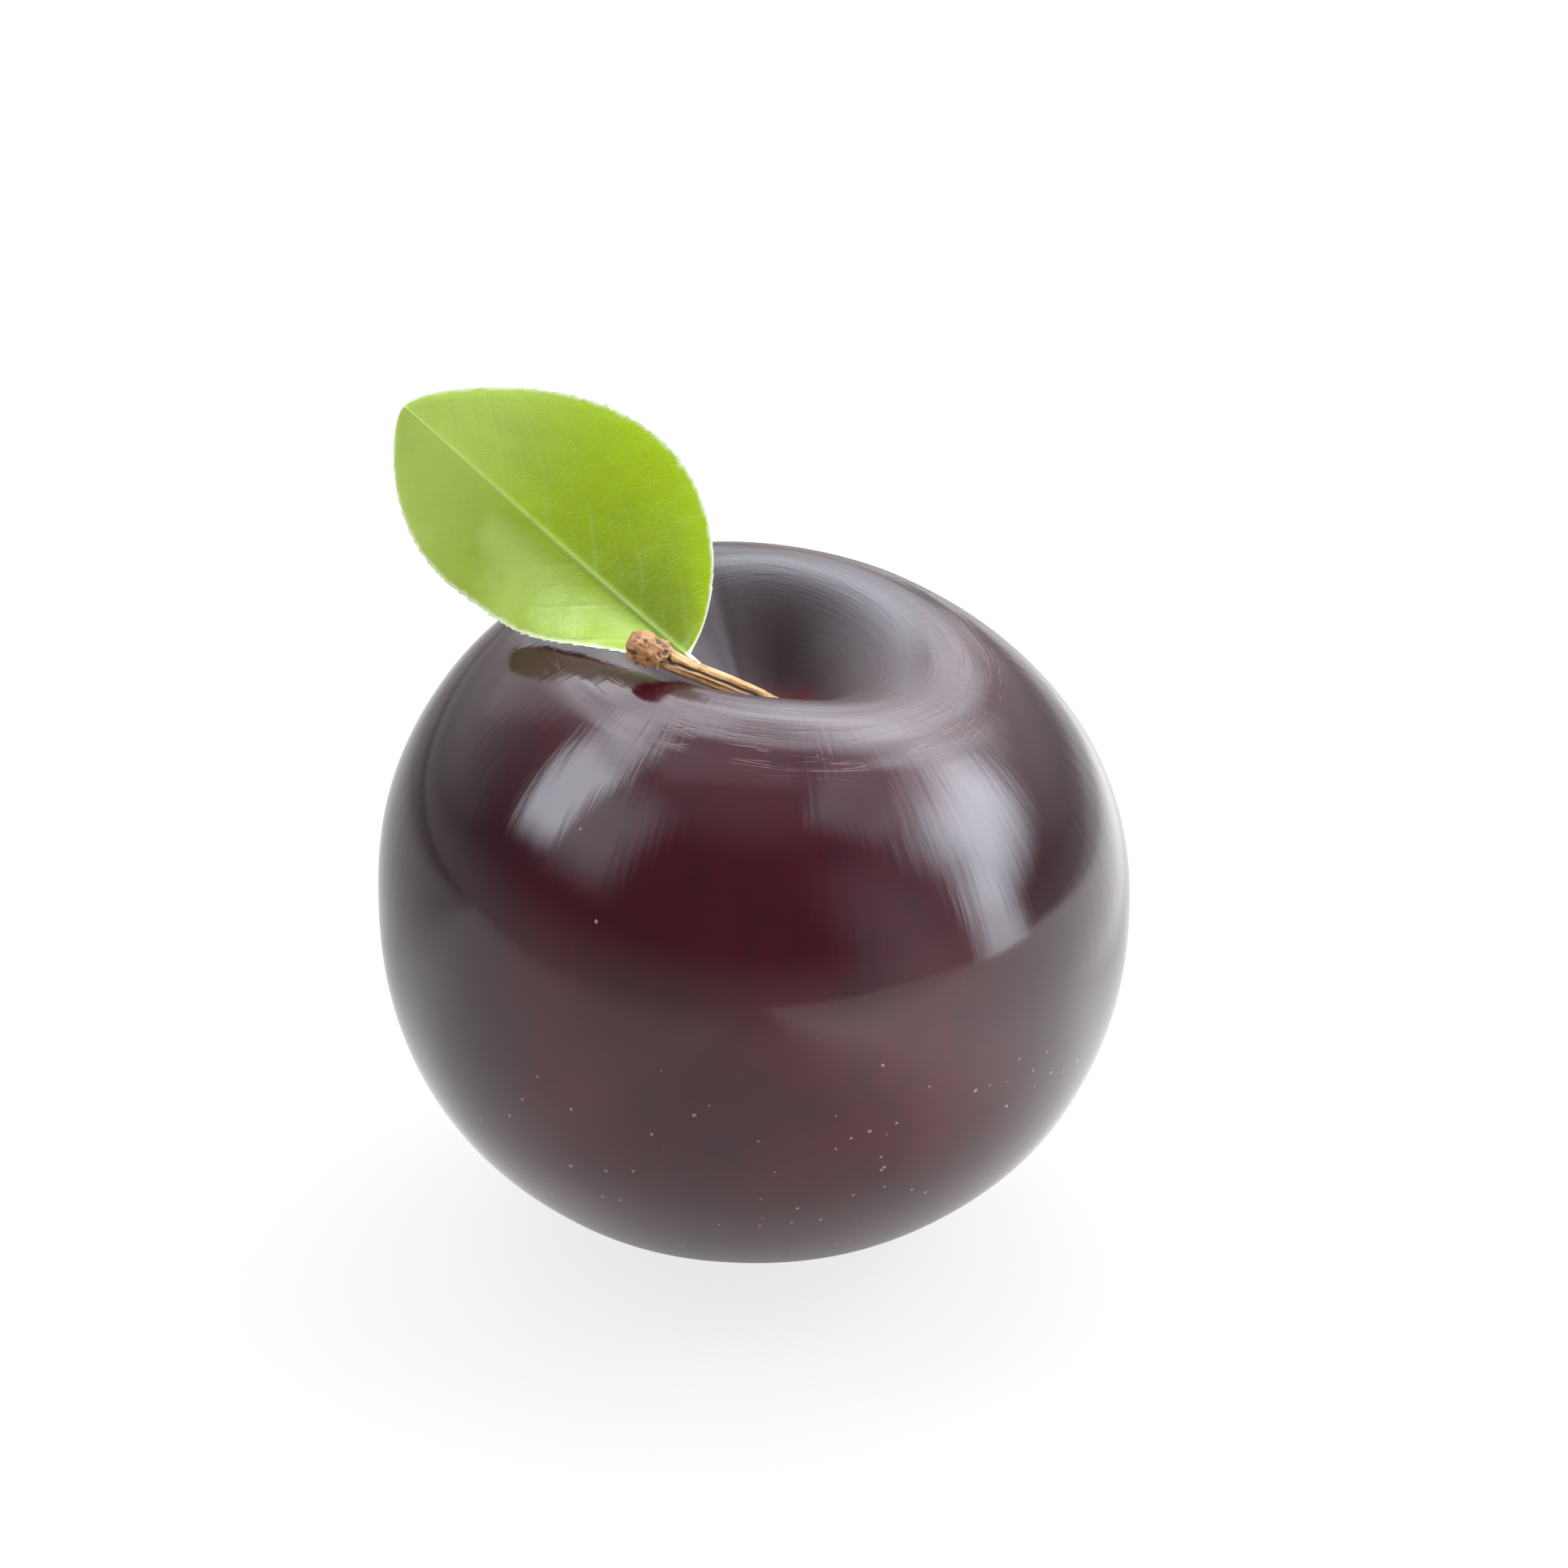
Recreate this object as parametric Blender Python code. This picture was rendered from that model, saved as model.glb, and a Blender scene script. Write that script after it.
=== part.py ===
"""A plum as picked: the fruit, the woody stalk in its cavity, and one leaf on the stalk.

The origin is on the small flat spot that the fruit rests on, with +Z up.
"""

import math

import bmesh
import bpy
from mathutils import Vector

MM = 0.001

# Fruit: a body a little wider than tall, fullest at the height of its centre
FRUIT_RADIUS = 31.9 * MM
CENTRE_HEIGHT = 29.4 * MM
CROWN_RISE = 27.9 * MM
BASE_DROP = 29.9 * MM
CROWN_FULLNESS = 2.18
BASE_FULLNESS = 2.15
CROWN_SLOPE = Vector((-0.081, 0.061))

# Cavity in the crown, which the stalk stands in: steep all round but for a gentle slope on the right
CAVITY_DEPTH = 11.4 * MM
CAVITY_RADIUS = 8.2 * MM
CAVITY_PLACE = Vector((1.6, -0.3)) * MM
CAVITY_OVAL = 1.3
CAVITY_STEEPNESS = 2.2
GENTLE_OVAL = 1.1
GENTLE_STEEPNESS = 1.25
GENTLE_TURN = 1.5

# Seam of the fruit: a shallow groove down the back, from the cavity to the blossom end
SEAM_HEADING = math.radians(112)
SEAM_DEPTH = 0.4 * MM
SEAM_HALF_WIDTH = 3.5 * MM

# Rings and ribs of the fruit's mesh; the rings lie closer together in the cavity
FRUIT_RIBS = 60
FRUIT_RINGS = 46
RING_CROWDING = 1.2

# Stalk: its middle line from the cavity floor to the knob, and its radius at each point, all in mm
STALK_LINE = (
    (2.5, -2.0, 47.75, 0.85),
    (1.8, -2.5, 48.3, 0.85),
    (0.3, -4.0, 50.0, 0.78),
    (-2.0, -5.7, 52.0, 0.75),
    (-5.0, -7.4, 54.2, 0.70),
    (-6.8, -8.3, 55.5, 0.72),
    (-7.7, -8.7, 56.3, 1.20),
    (-9.0, -9.2, 57.1, 1.32),
    (-10.3, -9.4, 57.5, 0.97),
)
STALK_CURVE_ORDER = 3
STALK_STEPS = 3
STALK_BEVEL_STEPS = 4

# Leaf: where its blade leaves the stalk, the way its midrib runs, and the way its face looks
LEAF_BASE = Vector((-5.5, -6.0, 54.8)) * MM
LEAF_ALONG = Vector((-0.706, 0.577, 0.408)).normalized()
LEAF_FACE = Vector((-0.208, -0.745, 0.619)).normalized()
LEAF_LENGTH = 32.0 * MM
LEAF_HALF_WIDTH = 11.8 * MM
LEAF_THICKNESS = 0.5 * MM
LEAF_END_HALF_WIDTH = 0.35 * MM
LEAF_FORWARD_BEND = 3.8 * MM

# Outline: the share of the length where the blade is widest, and how blunt its ends are
LEAF_WIDEST_AT = 0.43
LEAF_BLUNTNESS = 0.72

# The lower half is narrower at the base than at the tip; it folds forward along the midrib at the base
# and leans back beyond the middle, so that its edge follows the shoulder of the fruit
LOWER_WIDTH_AT_BASE = 0.47
LOWER_WIDTH_GAIN = 1.10
LOWER_WIDTH_CURVE = 2.0
UPPER_FOLD = math.radians(8)
LOWER_FOLD_AT_BASE = math.radians(35)
LOWER_FOLD_AT_TIP = math.radians(-30)
LOWER_FOLD_SETTLES_AT = 0.6
LEAF_PANELS_ALONG = 16
LEAF_PANELS_ACROSS = 12

# Colour and roughness of each material
SKIN = ((0.055, 0.012, 0.018, 1.0), 0.25)
BARK = ((0.42, 0.24, 0.10, 1.0), 0.75)
GREEN = ((0.36, 0.60, 0.08, 1.0), 0.45)


def clear_scene():
    for thing in list(bpy.data.objects):
        bpy.data.objects.remove(thing)


def material(name, finish):
    """A non-metal with one colour and one roughness."""
    colour, roughness = finish
    made = bpy.data.materials.new(name)
    made.use_nodes = True
    shader = made.node_tree.nodes["Principled BSDF"]
    shader.inputs["Base Color"].default_value = colour
    shader.inputs["Roughness"].default_value = roughness
    shader.inputs["Metallic"].default_value = 0.0
    return made


def add_mesh_object(name, bm, skin):
    """Turns the bmesh into a smooth object of this name and material."""
    mesh = bpy.data.meshes.new(name)
    bm.to_mesh(mesh)
    bm.free()
    mesh.shade_smooth()
    mesh.materials.append(skin)
    made = bpy.data.objects.new(name, mesh)
    bpy.context.scene.collection.objects.link(made)
    return made


def body_point(heading, polar):
    """Point of the plain rounded body, from its centre; polar is 0 at the stalk end."""
    rise = CROWN_RISE if polar < math.pi / 2 else BASE_DROP
    fullness = CROWN_FULLNESS if polar < math.pi / 2 else BASE_FULLNESS
    across = abs(math.sin(polar) / FRUIT_RADIUS) ** fullness
    upward = abs(math.cos(polar) / rise) ** fullness
    reach = (across + upward) ** (-1 / fullness)
    side = reach * math.sin(polar)
    return Vector((side * math.cos(heading), side * math.sin(heading), reach * math.cos(polar)))


def seam_groove(heading, polar):
    """Depth of the groove at this heading; it fades out at both ends of the fruit."""
    away = math.remainder(heading - SEAM_HEADING, math.tau) * FRUIT_RADIUS
    return SEAM_DEPTH * math.exp(-((away / SEAM_HALF_WIDTH) ** 2)) * math.sin(polar)


def cavity_depth(plan):
    """Depth of the cavity at this place, seen from above."""
    way = plan - CAVITY_PLACE
    to_the_right = max(0.0, way.normalized().x) ** GENTLE_TURN
    steepness = CAVITY_STEEPNESS + (GENTLE_STEEPNESS - CAVITY_STEEPNESS) * to_the_right
    way.x /= GENTLE_OVAL if way.x > 0 else CAVITY_OVAL
    return CAVITY_DEPTH * math.exp(-((way.length / CAVITY_RADIUS) ** steepness))


def fruit_point(heading, polar):
    """Point of the skin, above the flat spot: the body with its groove, slope and cavity."""
    point = body_point(heading, polar)
    point -= seam_groove(heading, polar) * point.normalized()
    plan = Vector((point.x, point.y))
    if point.z > 0:
        point.z *= 1 + CROWN_SLOPE.dot(plan) / FRUIT_RADIUS
        point.z -= cavity_depth(plan)
    point.z += CENTRE_HEIGHT
    return point


def make_fruit(skin):
    bm = bmesh.new()
    bmesh.ops.create_uvsphere(bm, u_segments=FRUIT_RIBS, v_segments=FRUIT_RINGS, radius=1.0)
    for vert in bm.verts:
        share = math.acos(max(-1.0, min(1.0, vert.co.z))) / math.pi
        heading = math.atan2(vert.co.y, vert.co.x)
        vert.co = fruit_point(heading, math.pi * share**RING_CROWDING)
    cut = bmesh.ops.bisect_plane(
        bm,
        geom=bm.verts[:] + bm.edges[:] + bm.faces[:],
        plane_co=(0, 0, 0),
        plane_no=(0, 0, -1),
        clear_outer=True,
    )
    rim = [item for item in cut["geom_cut"] if isinstance(item, bmesh.types.BMEdge)]
    bmesh.ops.contextual_create(bm, geom=rim)
    bmesh.ops.recalc_face_normals(bm, faces=bm.faces[:])
    return add_mesh_object("fruit", bm, skin)


def make_stalk(bark):
    """A tapered round rod along the stalk's line, with closed ends."""
    line = bpy.data.curves.new("stalk", "CURVE")
    line.dimensions = "3D"
    line.bevel_depth = MM
    line.bevel_resolution = STALK_BEVEL_STEPS
    line.resolution_u = STALK_STEPS
    line.use_fill_caps = True
    spline = line.splines.new("NURBS")
    spline.points.add(len(STALK_LINE) - 1)
    for point, (x, y, z, radius) in zip(spline.points, STALK_LINE):
        point.co = (x * MM, y * MM, z * MM, 1.0)
        point.radius = radius
    spline.order_u = STALK_CURVE_ORDER
    spline.use_endpoint_u = True
    line.materials.append(bark)
    made = bpy.data.objects.new("stalk", line)
    bpy.context.scene.collection.objects.link(made)
    return made


def blade_half_width(along):
    """Half-width of the outer half of the blade, at this share of its length."""
    stretch = math.log(0.5) / math.log(LEAF_WIDEST_AT)
    swell = max(0.0, math.sin(math.pi * along**stretch))
    return LEAF_END_HALF_WIDTH + LEAF_HALF_WIDTH * swell**LEAF_BLUNTNESS


def leaf_point(along, across):
    """Point of the blade: along is 0 to 1 on the midrib, across is -1 to 1, lower edge to upper."""
    upward = LEAF_FACE.cross(LEAF_ALONG).normalized()
    if upward.z < 0:
        upward.negate()
    width = blade_half_width(along) * abs(across)
    if across < 0:
        width *= LOWER_WIDTH_AT_BASE + LOWER_WIDTH_GAIN * along**LOWER_WIDTH_CURVE
        turned = min(1.0, along / LOWER_FOLD_SETTLES_AT)
        turned = turned * turned * (3 - 2 * turned)
        fold = LOWER_FOLD_AT_BASE + (LOWER_FOLD_AT_TIP - LOWER_FOLD_AT_BASE) * turned
        sideways = -upward
    else:
        fold = UPPER_FOLD
        sideways = upward
    point = LEAF_BASE + LEAF_LENGTH * along * LEAF_ALONG
    point += width * (math.cos(fold) * sideways + math.sin(fold) * LEAF_FACE)
    return point + LEAF_FORWARD_BEND * along**2 * LEAF_FACE


def make_leaf(green):
    """A folded blade of even thickness."""
    bm = bmesh.new()
    bmesh.ops.create_grid(bm, x_segments=LEAF_PANELS_ALONG, y_segments=LEAF_PANELS_ACROSS, size=1.0)
    for vert in bm.verts:
        vert.co = leaf_point((vert.co.x + 1) / 2, vert.co.y)
    made = add_mesh_object("leaf", bm, green)
    wall = made.modifiers.new("blade thickness", "SOLIDIFY")
    wall.thickness = LEAF_THICKNESS
    wall.offset = 0.0
    return made


def main():
    clear_scene()
    make_fruit(material("plum_skin", SKIN))
    make_stalk(material("stalk_bark", BARK))
    make_leaf(material("leaf_green", GREEN))


main()
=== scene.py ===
# %% [markdown]
# # A dark plum with its stalk and one leaf
#
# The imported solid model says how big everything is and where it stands. This lesson
# gives it its looks: a taut waxy skin, a dry woody stalk and a fresh leaf. Each step
# says what the real thing is like, how it could be made in Blender, and why it is made
# the way it is.

# %% Load the solid model
import math

import bmesh
import bpy
import numpy as np
from mathutils import Matrix, Vector, noise
from mathutils.bvhtree import BVHTree


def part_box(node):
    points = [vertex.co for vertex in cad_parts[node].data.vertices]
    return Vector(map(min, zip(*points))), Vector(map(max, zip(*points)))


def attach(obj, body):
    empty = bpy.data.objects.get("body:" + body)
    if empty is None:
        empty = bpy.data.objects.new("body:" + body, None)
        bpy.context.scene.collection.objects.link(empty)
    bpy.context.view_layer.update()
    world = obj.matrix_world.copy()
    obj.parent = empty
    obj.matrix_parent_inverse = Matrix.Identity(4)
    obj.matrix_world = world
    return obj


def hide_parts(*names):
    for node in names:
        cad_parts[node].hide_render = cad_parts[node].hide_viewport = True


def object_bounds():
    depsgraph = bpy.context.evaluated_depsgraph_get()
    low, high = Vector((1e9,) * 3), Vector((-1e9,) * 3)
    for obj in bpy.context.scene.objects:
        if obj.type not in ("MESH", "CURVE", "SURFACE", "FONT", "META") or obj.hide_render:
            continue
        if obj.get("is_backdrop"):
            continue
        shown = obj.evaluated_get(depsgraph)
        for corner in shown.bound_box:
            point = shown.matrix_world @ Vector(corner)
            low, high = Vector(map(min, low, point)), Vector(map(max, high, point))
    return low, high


MM = 0.001
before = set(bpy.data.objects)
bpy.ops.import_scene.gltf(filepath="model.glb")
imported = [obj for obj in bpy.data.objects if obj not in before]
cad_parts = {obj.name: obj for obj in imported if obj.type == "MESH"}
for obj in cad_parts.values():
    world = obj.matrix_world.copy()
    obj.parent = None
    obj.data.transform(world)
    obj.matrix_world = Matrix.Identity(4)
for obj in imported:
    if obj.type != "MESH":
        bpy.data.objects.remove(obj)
cad_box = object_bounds()
print("solids:", sorted(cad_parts))
print("size in mm:", [round(side / MM, 1) for side in cad_box[1] - cad_box[0]])

# %% [markdown]
# ## Camera
#
# A long lens from a short way above the table shows the crown of the fruit, the stalk in
# its hollow and the face of the leaf all at once. The camera aims a little above the
# middle of the fruit, so that the leaf has room over it.

# %% Camera
fruit_low, fruit_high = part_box("fruit")
FRUIT_RADIUS = (fruit_high.x - fruit_low.x) / 2
FRUIT_CENTRE = Vector((0.0, 0.0, 29.4 * MM))
CAMERA_ELEVATION = math.radians(28.6)
CAMERA_DISTANCE = 400 * MM
CAMERA_LENS_MM = 108.07
AIM_TO_THE_RIGHT = 2.52 * MM
AIM_UPWARDS = 9.38 * MM

towards_camera = Vector((0.0, -math.cos(CAMERA_ELEVATION), math.sin(CAMERA_ELEVATION)))
picture_up = Vector((0.0, math.sin(CAMERA_ELEVATION), math.cos(CAMERA_ELEVATION)))
aim = FRUIT_CENTRE + AIM_TO_THE_RIGHT * Vector((1, 0, 0)) + AIM_UPWARDS * picture_up

camera_data = bpy.data.cameras.new("camera")
camera_data.lens = CAMERA_LENS_MM
camera_data.clip_start = 10 * MM
camera = bpy.data.objects.new("camera", camera_data)
bpy.context.scene.collection.objects.link(camera)
camera.location = FRUIT_CENTRE + CAMERA_DISTANCE * towards_camera
camera.rotation_euler = (aim - camera.location).to_track_quat("-Z", "Y").to_euler()
bpy.context.scene.camera = camera
print("camera at", [round(value, 3) for value in camera.location])

# %% [markdown]
# ## Small tools for shader nodes
#
# A procedural material is a graph of nodes: small boxes that take numbers, colours or
# places in and put one result out. They can be added one by one, but that fills pages
# and hides what the graph does, so a few helpers do it. The first plugs one input, which
# is either a plain value or another node's output. The next adds any node with all its
# inputs, and the others do sums on numbers, sums on vectors, and mixes of two colours.


# %% Node helpers
def set_input(tree, socket, value):
    """Plugs another node's output into this socket, or sets the socket to a plain value."""
    if isinstance(value, bpy.types.NodeSocket):
        tree.links.new(value, socket)
    else:
        socket.default_value = value


def add_node(tree, kind, inputs=None, **settings):
    """Adds a node with these settings; an input may be a value or an output socket."""
    node = tree.nodes.new(kind)
    for name, value in settings.items():
        setattr(node, name, value)
    for name, value in (inputs or {}).items():
        set_input(tree, node.inputs[name], value)
    return node


def calculate(tree, operation, first, second=0.0, third=0.0, clamp=False):
    """One sum on numbers; returns its result."""
    inputs = {0: first, 1: second, 2: third}
    node = add_node(tree, "ShaderNodeMath", inputs, operation=operation, use_clamp=clamp)
    return node.outputs[0]


def calculate_vector(tree, operation, inputs):
    """One sum on vectors; returns the node's outputs."""
    return add_node(tree, "ShaderNodeVectorMath", inputs, operation=operation).outputs


def mix_colours(tree, share, first, second):
    """The first colour where share is 0 and the second where it is 1."""
    inputs = {0: share, 6: first, 7: second}
    return add_node(tree, "ShaderNodeMix", inputs, data_type="RGBA").outputs[2]


# %% [markdown]
# ## Masks and coats
#
# Most of a finish is masks: numbers from 0 to 1 that say where a colour or a gloss
# holds. A smooth step between two places is one edge of a mask, two steps are a band,
# and masks that are multiplied hold only where all of them do. Colours then go on like
# thin coats of paint: each coat covers the ones before it as far as its mask says.


# %% Masks and coats
def fade(tree, value, start, end, low=0.0, high=1.0):
    """A smooth step from low, at start, to high, at end."""
    inputs = {"Value": value, 1: start, 2: end, 3: low, 4: high}
    node = add_node(tree, "ShaderNodeMapRange", inputs, interpolation_type="SMOOTHSTEP")
    return node.outputs[0]


def product(tree, *factors):
    """All these numbers multiplied together."""
    result = factors[0]
    for factor in factors[1:]:
        result = calculate(tree, "MULTIPLY", result, factor)
    return result


def between(tree, value, start, full, still_full, end):
    """1 from full to still_full, and 0 below start and above end."""
    return product(tree, fade(tree, value, start, full), fade(tree, value, end, still_full))


def add_up(tree, total, terms):
    """The total with each mask added to it, times the number beside the mask."""
    for mask, amount in terms:
        total = calculate(tree, "MULTIPLY_ADD", mask, amount, total)
    return total


def lay_coats(tree, first, coats):
    """The first colour under these coats, each of them a mask and a colour."""
    colour = first
    for mask, coat in coats:
        colour = mix_colours(tree, mask, colour, coat)
    return colour


# %% [markdown]
# ## Where a pattern lies
#
# Object coordinates are a point's own place in its piece, so a pattern on them never
# slides. They are in metres, and a Mapping node turns them into millimetres, which suit
# marks of this size. Where a colour has to follow a vein or a groove, the mesh keeps a
# number at each of its points, and an Attribute node reads it.


# %% Materials and places
def new_material(name):
    """An empty material with a Principled shader; returns it, its tree and the shader."""
    made = bpy.data.materials.new(name)
    made.use_nodes = True
    tree = made.node_tree
    return made, tree, tree.nodes["Principled BSDF"]


def place_in_mm(tree):
    """The point of the piece, in millimetres from the middle of the fruit's foot."""
    where = add_node(tree, "ShaderNodeTexCoord")
    inputs = {"Vector": where.outputs["Object"], "Scale": (1 / MM, 1 / MM, 1 / MM)}
    return add_node(tree, "ShaderNodeMapping", inputs).outputs[0]


def axes_of(tree, place):
    """The three numbers of a place, by the names X, Y and Z."""
    return add_node(tree, "ShaderNodeSeparateXYZ", {"Vector": place}).outputs


def attribute(tree, name):
    """A number that the mesh holds at each of its points."""
    return add_node(tree, "ShaderNodeAttribute", attribute_name=name).outputs["Fac"]


# %% [markdown]
# ## Two effects that every finish shares
#
# Nothing that grows has one even colour or one even surface. Two node groups hold what
# the skin, the bark and the leaf have in common, and each material uses them with its
# own numbers. A group is made like a material: it has nodes of its own, and its named
# sockets are added to its interface. The first group is a mask of soft blotches: a cloud
# of noise, cut by a smooth step so that only its high parts are left.


# %% Node groups
def new_group(name, inputs, outputs):
    """An empty node group with these sockets; returns its tree, its inputs and its end."""
    tree = bpy.data.node_groups.new(name, "ShaderNodeTree")
    for socket_name, kind in inputs:
        tree.interface.new_socket(socket_name, in_out="INPUT", socket_type=kind)
    for socket_name, kind in outputs:
        tree.interface.new_socket(socket_name, in_out="OUTPUT", socket_type=kind)
    start = tree.nodes.new("NodeGroupInput")
    end = tree.nodes.new("NodeGroupOutput")
    return tree, start.outputs, end


def use_group(tree, group, inputs):
    """Places a node group with these inputs; returns its outputs."""
    node = tree.nodes.new("ShaderNodeGroup")
    node.node_tree = group
    for name, value in inputs.items():
        set_input(tree, node.inputs[name], value)
    return node.outputs


# %% Soft patches
CLOUD_DETAIL = 3.0
CLOUD_ROUGHNESS = 0.55


def make_patches_group():
    inputs = (
        ("Place", "NodeSocketVector"),
        ("Size", "NodeSocketFloat"),
        ("Start", "NodeSocketFloat"),
        ("End", "NodeSocketFloat"),
    )
    tree, given, end = new_group("soft patches", inputs, (("Mask", "NodeSocketFloat"),))
    scale = calculate(tree, "DIVIDE", 1.0, given["Size"])
    cloud_inputs = {
        "Vector": given["Place"],
        "Scale": scale,
        "Detail": CLOUD_DETAIL,
        "Roughness": CLOUD_ROUGHNESS,
    }
    cloud = add_node(tree, "ShaderNodeTexNoise", cloud_inputs).outputs["Fac"]
    mask = fade(tree, cloud, given["Start"], given["End"])
    tree.links.new(mask, end.inputs["Mask"])
    return tree


PATCHES = make_patches_group()


def patches(tree, place, size, start, end):
    """A mask of soft blotches of this size in mm; start and end are levels of the noise."""
    inputs = {"Place": place, "Size": size, "Start": start, "End": end}
    return use_group(tree, PATCHES, inputs)["Mask"]


# %% [markdown]
# ## Fine grain
#
# The second group is grain, a relief finer than a mesh of sensible size could hold. A
# Bump node tilts the light as if the surface went up and down, and leaves the outline
# alone, which nobody misses at a hundredth of a millimetre. The group adds the grain to
# whatever other height a material has worked out, so each material needs one bump only.

# %% Fine grain
GRAIN_DETAIL = 2.0


def make_grain_group():
    inputs = (
        ("Place", "NodeSocketVector"),
        ("Size", "NodeSocketFloat"),
        ("Height in mm", "NodeSocketFloat"),
        ("Relief in mm", "NodeSocketFloat"),
    )
    outputs = (("Normal", "NodeSocketVector"), ("Grain", "NodeSocketFloat"))
    tree, given, end = new_group("fine grain", inputs, outputs)
    scale = calculate(tree, "DIVIDE", 1.0, given["Size"])
    grain_inputs = {"Vector": given["Place"], "Scale": scale, "Detail": GRAIN_DETAIL}
    grain = add_node(tree, "ShaderNodeTexNoise", grain_inputs).outputs["Fac"]
    grain_height = calculate(tree, "MULTIPLY", grain, given["Height in mm"])
    height = calculate(tree, "ADD", grain_height, given["Relief in mm"])
    bump_inputs = {"Strength": 1.0, "Distance": MM, "Height": height}
    bump = add_node(tree, "ShaderNodeBump", bump_inputs)
    tree.links.new(bump.outputs[0], end.inputs["Normal"])
    tree.links.new(grain, end.inputs["Grain"])
    return tree


GRAIN = make_grain_group()


def fine_grain(tree, place, size, height, relief):
    """A normal with grain of this size and height, over the other relief."""
    inputs = {"Place": place, "Size": size, "Height in mm": height, "Relief in mm": relief}
    outputs = use_group(tree, GRAIN, inputs)
    return outputs["Normal"], outputs["Grain"]


print("shared groups:", [group.name for group in bpy.data.node_groups])

# %% [markdown]
# ## Turning a bmesh into a piece
#
# Every piece ends the same way: its faces are turned outwards, it becomes a smooth
# object at the origin, it rides on the one body of the model, and it stands for its
# solid. The print measures how far the piece strays from that solid.

# %% Finish a piece
MEASURED_POINTS = 4000


def make_object(name, bm, material):
    """The bmesh as a smooth object of this material, at the origin."""
    mesh = bpy.data.meshes.new(name)
    bm.to_mesh(mesh)
    bm.free()
    mesh.shade_smooth()
    mesh.materials.append(material)
    made = bpy.data.objects.new(name, mesh)
    bpy.context.scene.collection.objects.link(made)
    return made


def strays_in_mm(piece, node):
    """How far each of a sample of the piece's points lies from the solid."""
    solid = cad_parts[node].data
    corners = [vert.co for vert in solid.vertices]
    surface = BVHTree.FromPolygons(corners, [face.vertices[:] for face in solid.polygons])
    points = list(piece.data.vertices)
    sample = points[:: len(points) // MEASURED_POINTS + 1]
    return [surface.find_nearest(vert.co)[3] / MM for vert in sample]


def add_piece(name, bm, material, node):
    """The bmesh as the piece that stands for this solid and takes this material slot."""
    bmesh.ops.recalc_face_normals(bm, faces=bm.faces[:])
    open_edges = sum(not edge.is_manifold for edge in bm.edges)
    piece = make_object(name, bm, material)
    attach(piece, "root")
    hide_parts(node)

    strays = strays_in_mm(piece, node)
    piece.data.calc_loop_triangles()
    print(
        f"{name}: {len(piece.data.loop_triangles)} triangles, {open_edges} open edges,"
        f" strays {np.mean(strays):.2f} mm on average and {max(strays):.2f} mm at most"
    )


# %% [markdown]
# ## The fruit's body
#
# A plum of this kind is nearly a ball: a little wider than tall, fullest at the height
# of its middle, with a smooth hollow in the crown where the stalk stands. One side of
# the crown is higher than the other, and a shallow seam runs down the back. A sculpted
# ball would do, but a formula keeps the skin exactly where the solid is: each point of a
# UV sphere has a heading round the fruit and a polar angle from the stalk, and the
# formula says how far out the skin lies there.

# %% Body shape
CROWN_RISE = 27.9 * MM
BASE_DROP = 29.9 * MM
CROWN_FULLNESS = 2.18
BASE_FULLNESS = 2.15
CROWN_SLOPE = Vector((-0.081, 0.061))
HOLLOW_DEPTH = 11.4 * MM
HOLLOW_RADIUS = 8.2 * MM
HOLLOW_PLACE = Vector((1.6, -0.3)) * MM
HOLLOW_OVAL = 1.3
HOLLOW_STEEPNESS = 2.2
GENTLE_OVAL = 1.1
GENTLE_STEEPNESS = 1.25
GENTLE_TURN = 1.5
SEAM_HEADING = math.radians(112)
SEAM_DEPTH = 0.4 * MM
SEAM_HALF_WIDTH = 3.5 * MM


def body_point(heading, polar):
    """Point of the plain rounded body, from its centre; polar is 0 at the stalk end."""
    rise = CROWN_RISE if polar < math.pi / 2 else BASE_DROP
    fullness = CROWN_FULLNESS if polar < math.pi / 2 else BASE_FULLNESS
    across = abs(math.sin(polar) / FRUIT_RADIUS) ** fullness
    upward = abs(math.cos(polar) / rise) ** fullness
    reach = (across + upward) ** (-1 / fullness)
    side = reach * math.sin(polar)
    return Vector((side * math.cos(heading), side * math.sin(heading), reach * math.cos(polar)))


def seam_share(heading, polar):
    """1 in the middle of the seam, fading to 0 beside it and at both ends of the fruit."""
    away = math.remainder(heading - SEAM_HEADING, math.tau) * FRUIT_RADIUS
    return math.exp(-((away / SEAM_HALF_WIDTH) ** 2)) * math.sin(polar)


def from_hollow(point):
    """The way from the middle of the hollow to this point, seen from above."""
    return Vector((point.x, point.y)) - HOLLOW_PLACE


def hollow_depth(point):
    """Depth of the hollow here; its wall is steep all round but for a gentle slope on the right."""
    way = from_hollow(point)
    to_the_right = max(0.0, way.normalized().x) ** GENTLE_TURN
    steepness = HOLLOW_STEEPNESS + (GENTLE_STEEPNESS - HOLLOW_STEEPNESS) * to_the_right
    way.x /= GENTLE_OVAL if way.x > 0 else HOLLOW_OVAL
    return HOLLOW_DEPTH * math.exp(-((way.length / HOLLOW_RADIUS) ** steepness))


def skin_point(heading, polar):
    """Point of the skin over the foot, without its fine marks."""
    point = body_point(heading, polar)
    point -= SEAM_DEPTH * seam_share(heading, polar) * point.normalized()
    if point.z > 0:
        point.z *= 1 + CROWN_SLOPE.dot(Vector((point.x, point.y))) / FRUIT_RADIUS
        point.z -= hollow_depth(point)
    return point + FRUIT_CENTRE


print("hollow floor about", round(skin_point(0.0, 0.0).z / MM, 1), "mm high")

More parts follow.
